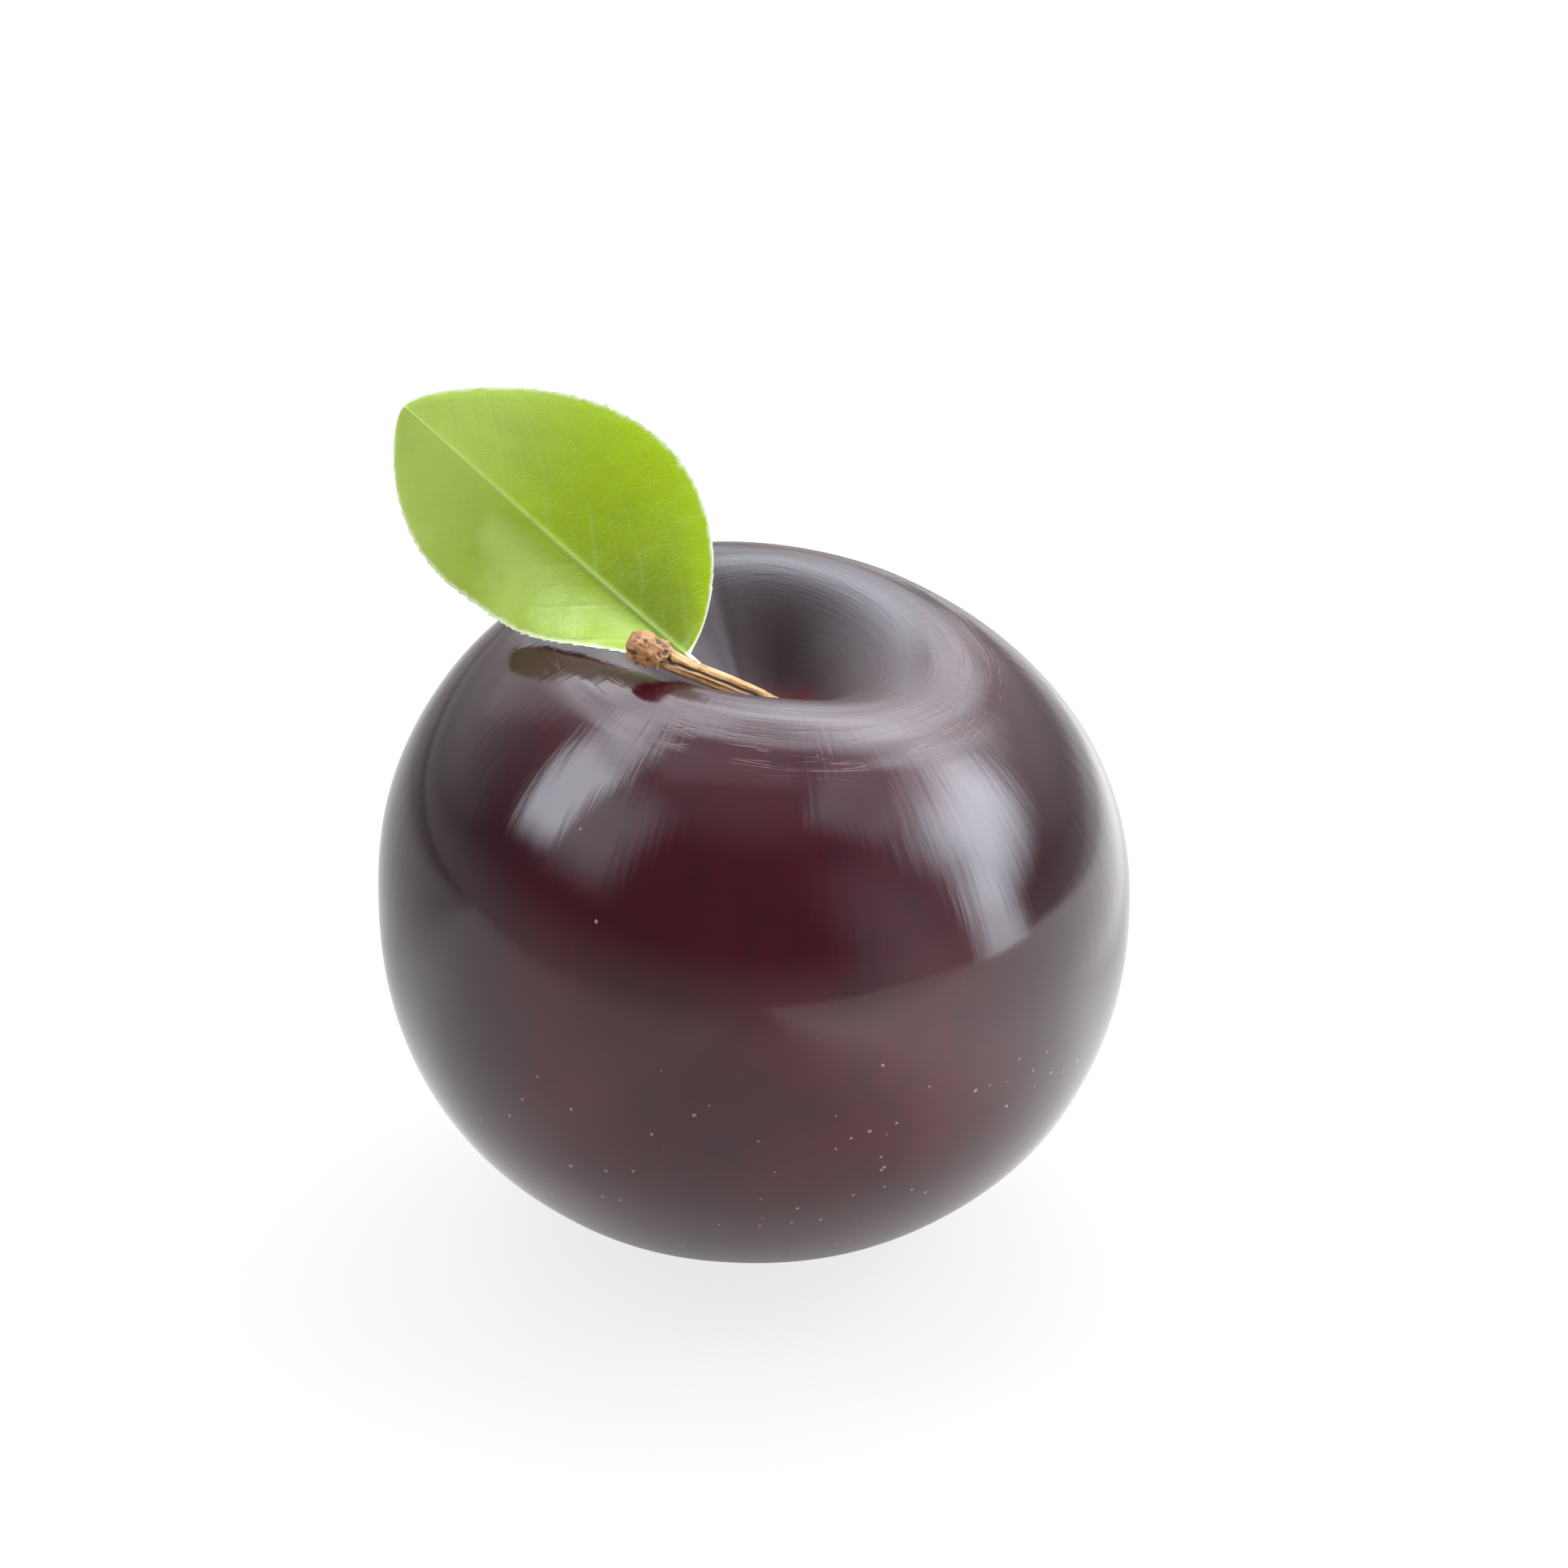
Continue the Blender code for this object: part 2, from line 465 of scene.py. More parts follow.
# %% [markdown]
# ## Slow swells in the skin
#
# Close up the skin isn't a perfect ball. Round the hollow the flesh has grown in uneven
# rings, and the whole body has slight dents. They bend every reflection a little, which
# is what tells the eye that the fruit has grown and wasn't turned on a lathe. They could
# be bump only, but then the outline and the mesh would miss them, so they are
# real relief: a noise in a frame that circles the stalk, and a noise in plain space.

# %% Swells in the skin
RING_HEIGHT = 0.07 * MM
RING_SPACING = 1.5 * MM
RING_BAND = (9.0 * MM, 22.0 * MM)
RING_FADE = 4.0 * MM
RING_TURNS = 1.6
DENT_HEIGHT = 0.16 * MM
DENT_SIZE = 13 * MM
DENT_START = Vector((3.1, 0.0, 1.7))


def smooth_step(value):
    """0 below 0, 1 above 1, and an even S between."""
    held = min(1.0, max(0.0, value))
    return held * held * (3 - 2 * held)


def growth_rings(point):
    """Height of the uneven rings round the hollow, from -1 to 1."""
    way = from_hollow(point)
    radius = way.length
    inner, outer = RING_BAND
    band = smooth_step((radius - inner) / RING_FADE) * smooth_step((outer - radius) / RING_FADE)
    if band == 0.0 or point.z < FRUIT_CENTRE.z:
        return 0.0
    side = way.normalized() * RING_TURNS
    return band * noise.noise(Vector((side.x, side.y, radius / RING_SPACING)))


def dent(point):
    """Height of the broad swells and dents, from -1 to 1."""
    return noise.noise(point / DENT_SIZE + DENT_START)


# %% [markdown]
# ## The foot and the blossom scar
#
# A ripe plum sags a little on the spot it rests on, so the lowest skin is flat there. In
# the middle of that spot is the scar where the blossom was: a small dimple.

# %% Foot
SCAR_RADIUS = 1.1 * MM
SCAR_DEPTH = 0.5 * MM
FOOT_ROUNDING = 0.12 * MM


def rest_on_table(point):
    """Lifts skin that would be under the table onto it, with a soft edge, and adds the scar."""
    above = point.z
    point.z = (above + math.sqrt(above**2 + FOOT_ROUNDING**2)) / 2
    from_scar = Vector((point.x, point.y)).length / SCAR_RADIUS
    if above < SCAR_DEPTH:
        point.z += SCAR_DEPTH * math.exp(-(from_scar**2))
    return point


# %% [markdown]
# ## Building the skin
#
# The UV sphere operator gives rings and ribs that all meet at the stalk, which suits a
# surface that has grown in rings round it. Its rings are evenly spaced. Here they are
# drawn together in the hollow, round its lip and at the scar, where the skin bends most,
# and spread out over the plain flanks, so that no triangle is wasted.

# %% Build the skin
SKIN_RIBS = 300
SKIN_RINGS = 320
FINE_ANGLES = 4000

# Each place with more rings: how many more times, its polar angle, its half-width, its squareness
CROWDED_PLACES = (
    (2.6, 0.0, 0.45, 4),
    (2.5, 0.55, 0.30, 4),
    (2.0, math.pi, 0.10, 2),
)


def crowded_polar_angles():
    """The polar angle of each ring."""
    angles = np.linspace(0, math.pi, FINE_ANGLES)
    crowding = np.ones(FINE_ANGLES)
    for gain, middle, half_width, squareness in CROWDED_PLACES:
        crowding += gain * np.exp(-(((angles - middle) / half_width) ** squareness))
    passed = np.cumsum(crowding)
    return np.interp(np.linspace(passed[0], passed[-1], SKIN_RINGS + 1), passed, angles)


def build_skin():
    bm = bmesh.new()
    bmesh.ops.create_uvsphere(bm, u_segments=SKIN_RIBS, v_segments=SKIN_RINGS, radius=1.0)
    angles = crowded_polar_angles()
    for vert in bm.verts:
        ring = round(math.acos(max(-1.0, min(1.0, vert.co.z))) / math.pi * SKIN_RINGS)
        heading = math.atan2(vert.co.y, vert.co.x)
        point = skin_point(heading, angles[ring])
        outward = (point - FRUIT_CENTRE).normalized()
        height = DENT_HEIGHT * dent(point) + RING_HEIGHT * growth_rings(point)
        vert.co = rest_on_table(point + height * outward)
    return bm


# %% [markdown]
# ## Skin colours
#
# Ripe skin of this kind looks nearly black, but it is a deep wine red. It is darker on
# the flanks and on the crown behind the stalk. The darkening towards the foot and on the
# wall of the hollow is painted shade. The bottom of the hollow is a brighter red: the skin
# that no sun reached, with a painted glow of the light caught in the hollow. No border on
# a fruit is sharp, so the masks that lay these colours all fade over several millimetres.

# %% Skin colours
# Dark skin for the darker patches, the flanks and the back of the crown, and the colour of the
# painted shade towards the foot and on the wall of the hollow
DARK_TONE_AND_SHADE = (0.012, 0.0018, 0.0050, 1.0)
CROWN_DARK = (0.034, 0.0016, 0.0060, 1.0)
WINE = (0.038, 0.0016, 0.0060, 1.0)
WINE_RED = (0.058, 0.0018, 0.0075, 1.0)
# Brighter red of the pit: the skin's own colour, with a painted glow of light caught in the hollow
PIT_RED_AND_GLOW = (0.150, 0.0050, 0.0110, 1.0)
CRACK_RED = (0.080, 0.006, 0.010, 1.0)
PORE_PALE = (0.420, 0.260, 0.240, 1.0)
SCAR_BROWN = (0.110, 0.060, 0.035, 1.0)

# %% [markdown]
# ## A frame round the stalk
#
# The skin round the hollow stretched as the fruit grew: fine lines circle the stalk, and
# fainter ones run outwards across them. A plain noise has no direction, so both are
# noise in a frame of their own: the direction from the stalk, as a point on a circle,
# and the distance from it. A small circle with a fast change outwards gives rings, and a
# large circle with a slow one gives rays. An angle would do instead of the point on a
# circle, but it jumps from one turn to the next, and the jump would show as a seam.


# %% Frame round the stalk
def way_from_hollow(tree, place):
    """The direction from the stalk, as a point on a circle, and the distance from it in mm."""
    middle = (-HOLLOW_PLACE.x / MM, -HOLLOW_PLACE.y / MM, 0.0)
    inputs = {"Vector": place, "Location": middle, "Scale": (1.0, 1.0, 0.0)}
    flat = add_node(tree, "ShaderNodeMapping", inputs).outputs[0]
    direction = calculate_vector(tree, "NORMALIZE", {0: flat})[0]
    distance = calculate_vector(tree, "LENGTH", {0: flat})["Value"]
    return direction, distance


def stretched_noise(tree, way, turns, swings, detail):
    """Noise that changes so fast round the stalk, and so many times a millimetre away from it."""
    direction, distance = way
    round_it = calculate_vector(tree, "SCALE", {0: direction, "Scale": turns})[0]
    lift = calculate(tree, "MULTIPLY", distance, swings)
    away = add_node(tree, "ShaderNodeCombineXYZ", {"Z": lift}).outputs[0]
    where = calculate_vector(tree, "ADD", {0: round_it, 1: away})[0]
    inputs = {"Vector": where, "Scale": 1.0, "Detail": detail}
    return add_node(tree, "ShaderNodeTexNoise", inputs).outputs["Fac"]


# %% [markdown]
# ## Pores and cracks
#
# Pale pores, a few tenths of a millimetre across, lie in loose groups on the lower half.
# A Voronoi texture has one point and one random colour in each of its cells: the point
# is where the pore sits, and the colour decides whether there is one and how large it
# is. The cracks follow the lines where a ring noise crosses its middle value, which are
# long and thin, and are kept to a band outside the lip of the hollow.

# %% Pores and cracks
# A pore's radius, the spread of it and its soft edge are shares of a cell
PORE_CELLS_PER_MM = 0.8
PORE_RADIUS = 0.08
PORE_SPREAD = 0.07
PORE_EDGE = 0.025
PORE_GROUPS = (9.0, 0.36, 0.58)
PORE_CHANCE = (36.0, 14.0, 0.02, 0.80)
CRACK_TURNS = 1.9
CRACKS_PER_MM = 1.5
CRACK_LINE = (0.030, 0.006)
CRACK_BAND = (14.5, 16.0, 18.5, 21.0)
CRACK_GROUPS = (6.0, 0.46, 0.60)


def pores(tree, place, height):
    """A mask of small round pores, most of them in loose groups on the lower half."""
    inputs = {"Vector": place, "Scale": PORE_CELLS_PER_MM, "Randomness": 1.0}
    cells = add_node(tree, "ShaderNodeTexVoronoi", inputs).outputs
    chance = add_node(tree, "ShaderNodeSeparateColor", {"Color": cells["Color"]}).outputs
    wanted = product(tree, patches(tree, place, *PORE_GROUPS), fade(tree, height, *PORE_CHANCE))
    chosen = calculate(tree, "LESS_THAN", chance[0], wanted)
    radius = calculate(tree, "MULTIPLY_ADD", chance[1], PORE_SPREAD, PORE_RADIUS)
    inwards = calculate(tree, "SUBTRACT", radius, cells["Distance"])
    soft = calculate(tree, "DIVIDE", inwards, PORE_EDGE, clamp=True)
    return product(tree, soft, chosen)


def cracks(tree, place, way, on_crown):
    """A mask of long thin cracks that circle the hollow outside its lip."""
    cloud = stretched_noise(tree, way, CRACK_TURNS, CRACKS_PER_MM, 1.0)
    off_line = calculate(tree, "ABSOLUTE", calculate(tree, "SUBTRACT", cloud, 0.5))
    line = fade(tree, off_line, *CRACK_LINE)
    band = between(tree, way[1], *CRACK_BAND)
    return product(tree, line, band, on_crown, patches(tree, place, *CRACK_GROUPS))


# %% [markdown]
# ## Places on the skin
#
# Colour, relief and gloss all ask the same things about a place on the skin: how high it
# is over the foot, how far it is from the stalk, whether it is on the crown or on the
# lip of the hollow, and whether a pore or a crack is there. Working each of them out
# once keeps the graph small, and keeps what belongs together in one place.

# %% Places on the skin
# Where each mask starts and ends, in mm of height over the foot or of distance
CROWN_HEIGHT = (38.0, 44.0)
LIP_DISTANCE = (19.0, 12.0)
SCAR_DISTANCE = (SCAR_RADIUS / MM * 1.8, SCAR_RADIUS / MM * 0.8)


def places_on_skin(tree):
    """What the skin's colour, relief and gloss ask about a place, by name."""
    place = place_in_mm(tree)
    axes = axes_of(tree, place)
    way = way_from_hollow(tree, place)
    on_crown = fade(tree, axes["Z"], *CROWN_HEIGHT)
    from_foot = calculate_vector(tree, "LENGTH", {0: place})["Value"]
    return {
        "place": place,
        "side": calculate(tree, "ABSOLUTE", axes["X"]),
        "depth": axes["Y"],
        "height": axes["Z"],
        "way": way,
        "distance": way[1],
        "crown": on_crown,
        "lip": product(tree, fade(tree, way[1], *LIP_DISTANCE), on_crown),
        "crack": cracks(tree, place, way, on_crown),
        "pore": pores(tree, place, axes["Z"]),
        "scar": fade(tree, from_foot, *SCAR_DISTANCE),
    }


# %% [markdown]
# ## Coats of skin colour
#
# The first coat is wine red in blotches of two strengths. The dark coats follow, two of
# them painted shade, then the red of the pit with its painted glow, and last the small
# marks, which lie on top of everything.

# %% Coats of skin colour
# Patches have a size in mm and two levels of the noise. A fade starts and ends at a place in
# mm, and gives its strength at both ends where that isn't 0 and 1.
WINE_PATCHES = (12.0, 0.36, 0.64)
DARK_PATCHES = (4.0, 0.46, 0.70)
DARK_PATCH_SHARE = 0.3
CROWN_SHADE = (30.0, 47.0, 0.0, 0.9)
FLANK_SHADE = (13.0, 27.0)
# Painted shade: the skin darkens towards the foot
FOOT_SHADE = (26.0, 12.0, 0.0, 0.55)
# Painted shade on the wall of the hollow
WALL_SHADE_BAND = (3.0, 5.0, 12.0, 15.0)
WALL_SHADE_SHARE = 0.6
BEHIND_SHADE = (2.0, 10.0)
BEHIND_SHARE = 0.8
PIT_DISTANCE = (4.0, 1.5)
CRACK_SHARE = 0.7
PORE_SHARE = 0.65


def skin_colour(tree, at):
    on_crown, distance, height = at["crown"], at["distance"], at["height"]
    dark_patches = patches(tree, at["place"], *DARK_PATCHES)
    wall = between(tree, distance, *WALL_SHADE_BAND)
    behind = fade(tree, at["depth"], *BEHIND_SHADE)
    coats = (
        (patches(tree, at["place"], *WINE_PATCHES), WINE_RED),
        (fade(tree, height, *CROWN_SHADE), CROWN_DARK),
        (fade(tree, at["side"], *FLANK_SHADE), DARK_TONE_AND_SHADE),
        (product(tree, dark_patches, DARK_PATCH_SHARE), DARK_TONE_AND_SHADE),
        # painted shade towards the foot
        (fade(tree, height, *FOOT_SHADE), DARK_TONE_AND_SHADE),
        # painted shade on the wall of the hollow
        (product(tree, wall, on_crown, WALL_SHADE_SHARE), DARK_TONE_AND_SHADE),
        (product(tree, behind, on_crown, BEHIND_SHARE), DARK_TONE_AND_SHADE),
        # the pit's red, with its painted glow
        (product(tree, fade(tree, distance, *PIT_DISTANCE), on_crown), PIT_RED_AND_GLOW),
        (product(tree, at["crack"], CRACK_SHARE), CRACK_RED),
        (product(tree, at["pore"], PORE_SHARE), PORE_PALE),
        (at["scar"], SCAR_BROWN),
    )
    return lay_coats(tree, WINE, coats)


# %% [markdown]
# ## Relief and gloss of the skin
#
# Rings and rays are a few hundredths of a millimetre high, a crack is a shallow cut and
# a pore a low bump. The flanks have a wax that is nearly a mirror, so they are left
# smooth. The lip and the inside of the hollow are rougher and show broad dull lights.

# %% Relief and gloss of the skin
# Heights of the relief are in mm; each roughness is added to the ones before it
RING_TURNS_AND_SWINGS = (2.6, 3.2)
RAY_TURNS_AND_SWINGS = (26.0, 0.16)
LINE_DETAIL = 3.0
RING_RELIEF = 0.045
RINGS_FADE_INWARDS = (6.5, 10.0, 0.25, 1.0)
RAY_RELIEF = 0.022
RAY_DISTANCE = (3.0, 16.0)
RAY_HEIGHT = (22.0, 44.0)
CRACK_RELIEF = -0.012
PORE_RELIEF = 0.012
SKIN_GRAIN = (0.7, 0.0025)
SKIN_ROUGHNESS = 0.085
GRAIN_ROUGHNESS = 0.05
LIP_ROUGHNESS = 0.12
CRACK_ROUGHNESS = 0.15
INSIDE_ROUGHNESS = 0.30
INSIDE_DISTANCE = (13.0, 8.5)
WAX_IOR = 1.5


def skin_relief(tree, at):
    """Height of the rings, rays, cracks and pores, in mm."""
    distance = at["distance"]
    rings = stretched_noise(tree, at["way"], *RING_TURNS_AND_SWINGS, LINE_DETAIL)
    rays = stretched_noise(tree, at["way"], *RAY_TURNS_AND_SWINGS, LINE_DETAIL)
    inwards = fade(tree, distance, *RINGS_FADE_INWARDS)
    ring_height = product(tree, rings, at["lip"], inwards, RING_RELIEF)
    outwards = fade(tree, distance, *RAY_DISTANCE)
    ray_height = product(tree, rays, outwards, fade(tree, at["height"], *RAY_HEIGHT), RAY_RELIEF)
    lines = calculate(tree, "ADD", ring_height, ray_height)
    return add_up(tree, lines, ((at["crack"], CRACK_RELIEF), (at["pore"], PORE_RELIEF)))


def skin_roughness(tree, grain, at):
    inside = product(tree, fade(tree, at["distance"], *INSIDE_DISTANCE), at["crown"])
    terms = (
        (grain, GRAIN_ROUGHNESS),
        (at["lip"], LIP_ROUGHNESS),
        (at["crack"], CRACK_ROUGHNESS),
        (inside, INSIDE_ROUGHNESS),
    )
    return add_up(tree, SKIN_ROUGHNESS, terms)


# %% Skin material and piece
def make_skin_material():
    material, tree, shader = new_material("plum_skin")
    at = places_on_skin(tree)
    normal, grain = fine_grain(tree, at["place"], *SKIN_GRAIN, skin_relief(tree, at))
    tree.links.new(skin_colour(tree, at), shader.inputs["Base Color"])
    tree.links.new(normal, shader.inputs["Normal"])
    tree.links.new(skin_roughness(tree, grain, at), shader.inputs["Roughness"])
    shader.inputs["IOR"].default_value = WAX_IOR
    return material


add_piece("fruit_skin", build_skin(), make_skin_material(), "fruit")

# %% [markdown]
# ## The stalk
#
# The stalk is a dry twig as thick as a matchstick. It has ridges and grooves along its
# length, and swells into a scarred knob where it grew on the branch. A curve with a round
# bevel would be smooth like wire, so the twig starts as a straight rod that is cut into
# many rings. Each point of a ring is then laid on the stalk's curved line, as far out as
# the bark is at that place and that side.

# %% Stalk line
# Its middle line from the hollow's floor to the end of the knob, and its radius at each point
STALK_LINE_MM = (
    (3.0, -1.5, 46.9, 1.00),
    (2.5, -2.0, 47.6, 0.90),
    (1.8, -2.5, 48.3, 0.85),
    (0.3, -4.0, 50.0, 0.80),
    (-2.0, -5.7, 52.0, 0.77),
    (-5.0, -7.4, 54.2, 0.74),
    (-6.8, -8.3, 55.5, 0.84),
    (-7.7, -8.7, 56.3, 1.15),
    (-9.0, -9.2, 57.1, 1.28),
    (-10.3, -9.4, 57.5, 0.95),
)


def stalk_station(share):
    """Middle and radius of the stalk at this share of its points, on a smooth curve."""
    points = [Vector(point) * MM for point in STALK_LINE_MM]
    last = len(points) - 1
    first = min(int(share * last), last - 1)
    way = share * last - first
    before, here, there, after = (points[min(max(first + step, 0), last)] for step in (-1, 0, 1, 2))
    straight = (there - before) * way
    bend = (2 * before - 5 * here + 4 * there - after) * way**2
    twist = (3 * here - before - 3 * there + after) * way**3
    station = here + (straight + bend + twist) / 2
    return station.xyz, station.w


print("the stalk's knob ends", round(stalk_station(1.0)[0].z / MM, 1), "mm above the table")

# %% [markdown]
# ## Bark relief
#
# A twig shrinks as it dries, so its bark has one deep groove that turns slowly round it,
# a few broad ridges and many fine fibres. The knob has lumps and pits instead, and a
# narrow collar parts it from the twig. Each of these is a noise that changes at a pace
# of its own round the stalk and along it, and the height of the bark is their sum.

# %% Bark relief
# Widths along the stalk are shares of its length, and widths round it are angles
KNOB_START = 0.73
KNOB_EDGE = 0.04
COLLAR_DEPTH = 0.12 * MM
COLLAR_WIDTH = 0.012
MAIN_GROOVE_SIDE = math.radians(178)
MAIN_GROOVE_TWIST = math.radians(-34)
MAIN_GROOVE_DEPTH = 0.26 * MM
MAIN_GROOVE_WIDTH = 0.24
MAIN_GROOVE_WANDER = 0.25
WANDERS_ALONG = 14
RIDGE_HEIGHT = 0.16 * MM
FIBRE_HEIGHT = 0.07 * MM
KNOB_LUMP_HEIGHT = 0.36 * MM
KNOB_PIT_SHARE = 0.45

# Each noise: how fast it changes round the stalk and along it, and where it starts
RIDGES = (2.1, 4.5, (0, 0))
FIBRES = (7.5, 17, (9, 0))
LUMPS = (1.7, 26, (4, 2))
PITS = (4.6, 46, (1, 8))


def bark_noise(share, side, turns, swings, start):
    """A noise on the stalk, from -1 to 1."""
    ring = Vector((math.cos(side), math.sin(side), 0.0))
    return noise.noise(ring * turns + Vector((*start, share * swings)))


def main_groove(share, side):
    """1 in the middle of the main groove, which turns round the stalk and wanders a little."""
    middle = MAIN_GROOVE_SIDE + MAIN_GROOVE_TWIST * (KNOB_START - share)
    middle += MAIN_GROOVE_WANDER * noise.noise(Vector((share * WANDERS_ALONG, 5.0, 0.0)))
    away = math.remainder(side - middle, math.tau)
    return math.exp(-((away / MAIN_GROOVE_WIDTH) ** 2))


def bark_height(share, side):
    """How far the bark stands out, or in where it is below zero, on this side of the stalk."""
    on_knob = smooth_step((share - KNOB_START) / KNOB_EDGE)
    groove = main_groove(share, side) * (1 - on_knob)
    collar = math.exp(-(((share - KNOB_START) / COLLAR_WIDTH) ** 2))
    ridges, fibres, lumps, pits = (
        bark_noise(share, side, *pattern) for pattern in (RIDGES, FIBRES, LUMPS, PITS)
    )
    height = RIDGE_HEIGHT * ridges + FIBRE_HEIGHT * fibres - MAIN_GROOVE_DEPTH * groove
    height -= COLLAR_DEPTH * collar
    return height + on_knob * KNOB_LUMP_HEIGHT * (lumps + KNOB_PIT_SHARE * pits)


# %% [markdown]
# ## Building the stalk
#
# The cone operator makes the rod, and cuts across its long edges make its rings. While
# a point is placed, the mesh also keeps how deep in a groove it lies and whether it is
# on the knob, for the bark's colour to read.

# %% Build the stalk
STALK_SIDES = 72
STALK_RINGS = 200
STALK_STEP = 0.01
END_ROUNDING = 0.06
SMALLEST_END = 0.06
DEEP_GROOVE = 0.22 * MM
KNOB_COLOUR_LEAD = 0.03
KNOB_COLOUR_EDGE = 0.05


def edges_along(bm, axis):
    """The edges that run along this axis."""
    return [edge for edge in bm.edges if abs(edge.verts[0].co[axis] - edge.verts[1].co[axis]) > 0.5]


def stalk_frame(share):
    """Middle and radius of the stalk, and the two ways across it: level and upwards."""
    middle, radius = stalk_station(share)
    ahead, _ = stalk_station(min(1.0, share + STALK_STEP))
    behind, _ = stalk_station(max(0.0, share - STALK_STEP))
    along = (ahead - behind).normalized()
    level = along.cross(Vector((0, 0, 1))).normalized()
    return middle, radius, level, level.cross(along)


def build_stalk():
    bm = bmesh.new()
    rod = {"segments": STALK_SIDES, "radius1": 1.0, "radius2": 1.0, "depth": 1.0}
    bmesh.ops.create_cone(bm, cap_ends=True, **rod)
    bmesh.ops.subdivide_edges(bm, edges=edges_along(bm, 2), cuts=STALK_RINGS - 1)
    deep = bm.verts.layers.float.new("groove")
    knob = bm.verts.layers.float.new("knob")
    for vert in bm.verts:
        share = min(1.0, max(0.0, vert.co.z + 0.5))
        side = math.atan2(vert.co.y, vert.co.x)
        middle, radius, level, upper = stalk_frame(share)
        height = bark_height(share, side)
        round_end = math.sqrt(smooth_step((1 - share) / END_ROUNDING))
        out = (radius + height) * max(SMALLEST_END, round_end)
        vert.co = middle + out * (math.cos(side) * level + math.sin(side) * upper)
        vert[deep] = min(1.0, max(0.0, -height / DEEP_GROOVE))
        vert[knob] = smooth_step((share - KNOB_START + KNOB_COLOUR_LEAD) / KNOB_COLOUR_EDGE)
    return bm


# %% [markdown]
# ## Bark finish
#
# The ridges are a warm straw tan where the bark is worn, and the knob is redder with
# nearly black scars. The grooves are darkened with painted shade: the mesh already knows
# how deep each point lies, so the shade follows the grooves exactly. A stretched noise adds
# fibres that run with the stalk: a Mapping node turns the pattern along it.

# %% Bark colours
BARK_TAN = (0.500, 0.260, 0.085, 1.0)
BARK_STRAW = (0.580, 0.360, 0.170, 1.0)
# Dark brown of the darker fibres, and the colour of the painted shade in the grooves
DARK_BARK_AND_GROOVE_SHADE = (0.075, 0.030, 0.009, 1.0)
KNOB_RED = (0.340, 0.150, 0.055, 1.0)
SCAR_DARK = (0.030, 0.013, 0.010, 1.0)

# %% Fibres of the bark
FIBRE_STRETCH = (0.35, 2.2, 2.2)
FIBRES_PER_MM = 1.6
FIBRE_DETAIL = 5.0
FIBRE_CLOUD_ROUGHNESS = 0.6


def bark_fibres(tree, place):
    """Noise in the stalk's own frame, in which X runs along it, stretched into fibres."""
    low, _ = stalk_station(0.3)
    high, _ = stalk_station(0.7)
    turn = (high - low).to_track_quat("X", "Z").to_matrix().inverted().to_euler()
    inputs = {"Vector": place, "Rotation": turn[:]}
    turned = add_node(tree, "ShaderNodeMapping", inputs).outputs[0]
    inputs = {"Vector": turned, "Scale": FIBRE_STRETCH}
    stretched = add_node(tree, "ShaderNodeMapping", inputs).outputs[0]
    inputs = {
        "Vector": stretched,
        "Scale": FIBRES_PER_MM,
        "Detail": FIBRE_DETAIL,
        "Roughness": FIBRE_CLOUD_ROUGHNESS,
    }
    return add_node(tree, "ShaderNodeTexNoise", inputs).outputs["Fac"]


# %% Bark material and piece
STRAW_FIBRES = (0.40, 0.62)
DARK_FIBRES = (0.44, 0.34)
DARK_FIBRE_SHARE = 0.7
KNOB_RED_SHARE = 0.8
SCAR_PATCHES = (0.9, 0.60, 0.68)
# Painted shade in the grooves, from how deep a point lies
GROOVE_SHADE = (0.25, 0.85)
FIBRE_RELIEF = 0.05
BARK_GRAIN = (0.18, 0.02)
BARK_ROUGHNESS = 0.42
BARK_GRAIN_ROUGHNESS = 0.25


def make_bark_material():
    material, tree, shader = new_material("stalk_bark")
    place = place_in_mm(tree)
    fibres = bark_fibres(tree, place)
    knob = attribute(tree, "knob")
    coats = (
        (fade(tree, fibres, *STRAW_FIBRES), BARK_STRAW),
        (product(tree, fade(tree, fibres, *DARK_FIBRES), DARK_FIBRE_SHARE), DARK_BARK_AND_GROOVE_SHADE),
        (product(tree, knob, KNOB_RED_SHARE), KNOB_RED),
        (product(tree, patches(tree, place, *SCAR_PATCHES), knob), SCAR_DARK),
        # painted shade in the grooves
        (fade(tree, attribute(tree, "groove"), *GROOVE_SHADE), DARK_BARK_AND_GROOVE_SHADE),
    )
    relief = product(tree, fibres, FIBRE_RELIEF)
    normal, grain = fine_grain(tree, place, *BARK_GRAIN, relief)
    rough = add_up(tree, BARK_ROUGHNESS, ((grain, BARK_GRAIN_ROUGHNESS),))
    tree.links.new(lay_coats(tree, BARK_TAN, coats), shader.inputs["Base Color"])
    tree.links.new(normal, shader.inputs["Normal"])
    tree.links.new(rough, shader.inputs["Roughness"])
    return material


add_piece("stalk_twig", build_stalk(), make_bark_material(), "stalk")

# %% [markdown]
# ## The leaf
#
# The leaf is a thin blade on a short foot that grows out of the stalk. Its lower half
# folds forward along the midrib at the base and leans back beyond the middle, where it
# follows the shoulder of the fruit. A flat plane with a picture on it would have no edge
# and no veins to catch the light, so the blade is a slab cut into a fine grid, and each
# corner of the grid is laid on the leaf, on its face or on its back. The outline comes
# first: a sine that leans towards the base, narrower below the midrib than above it.

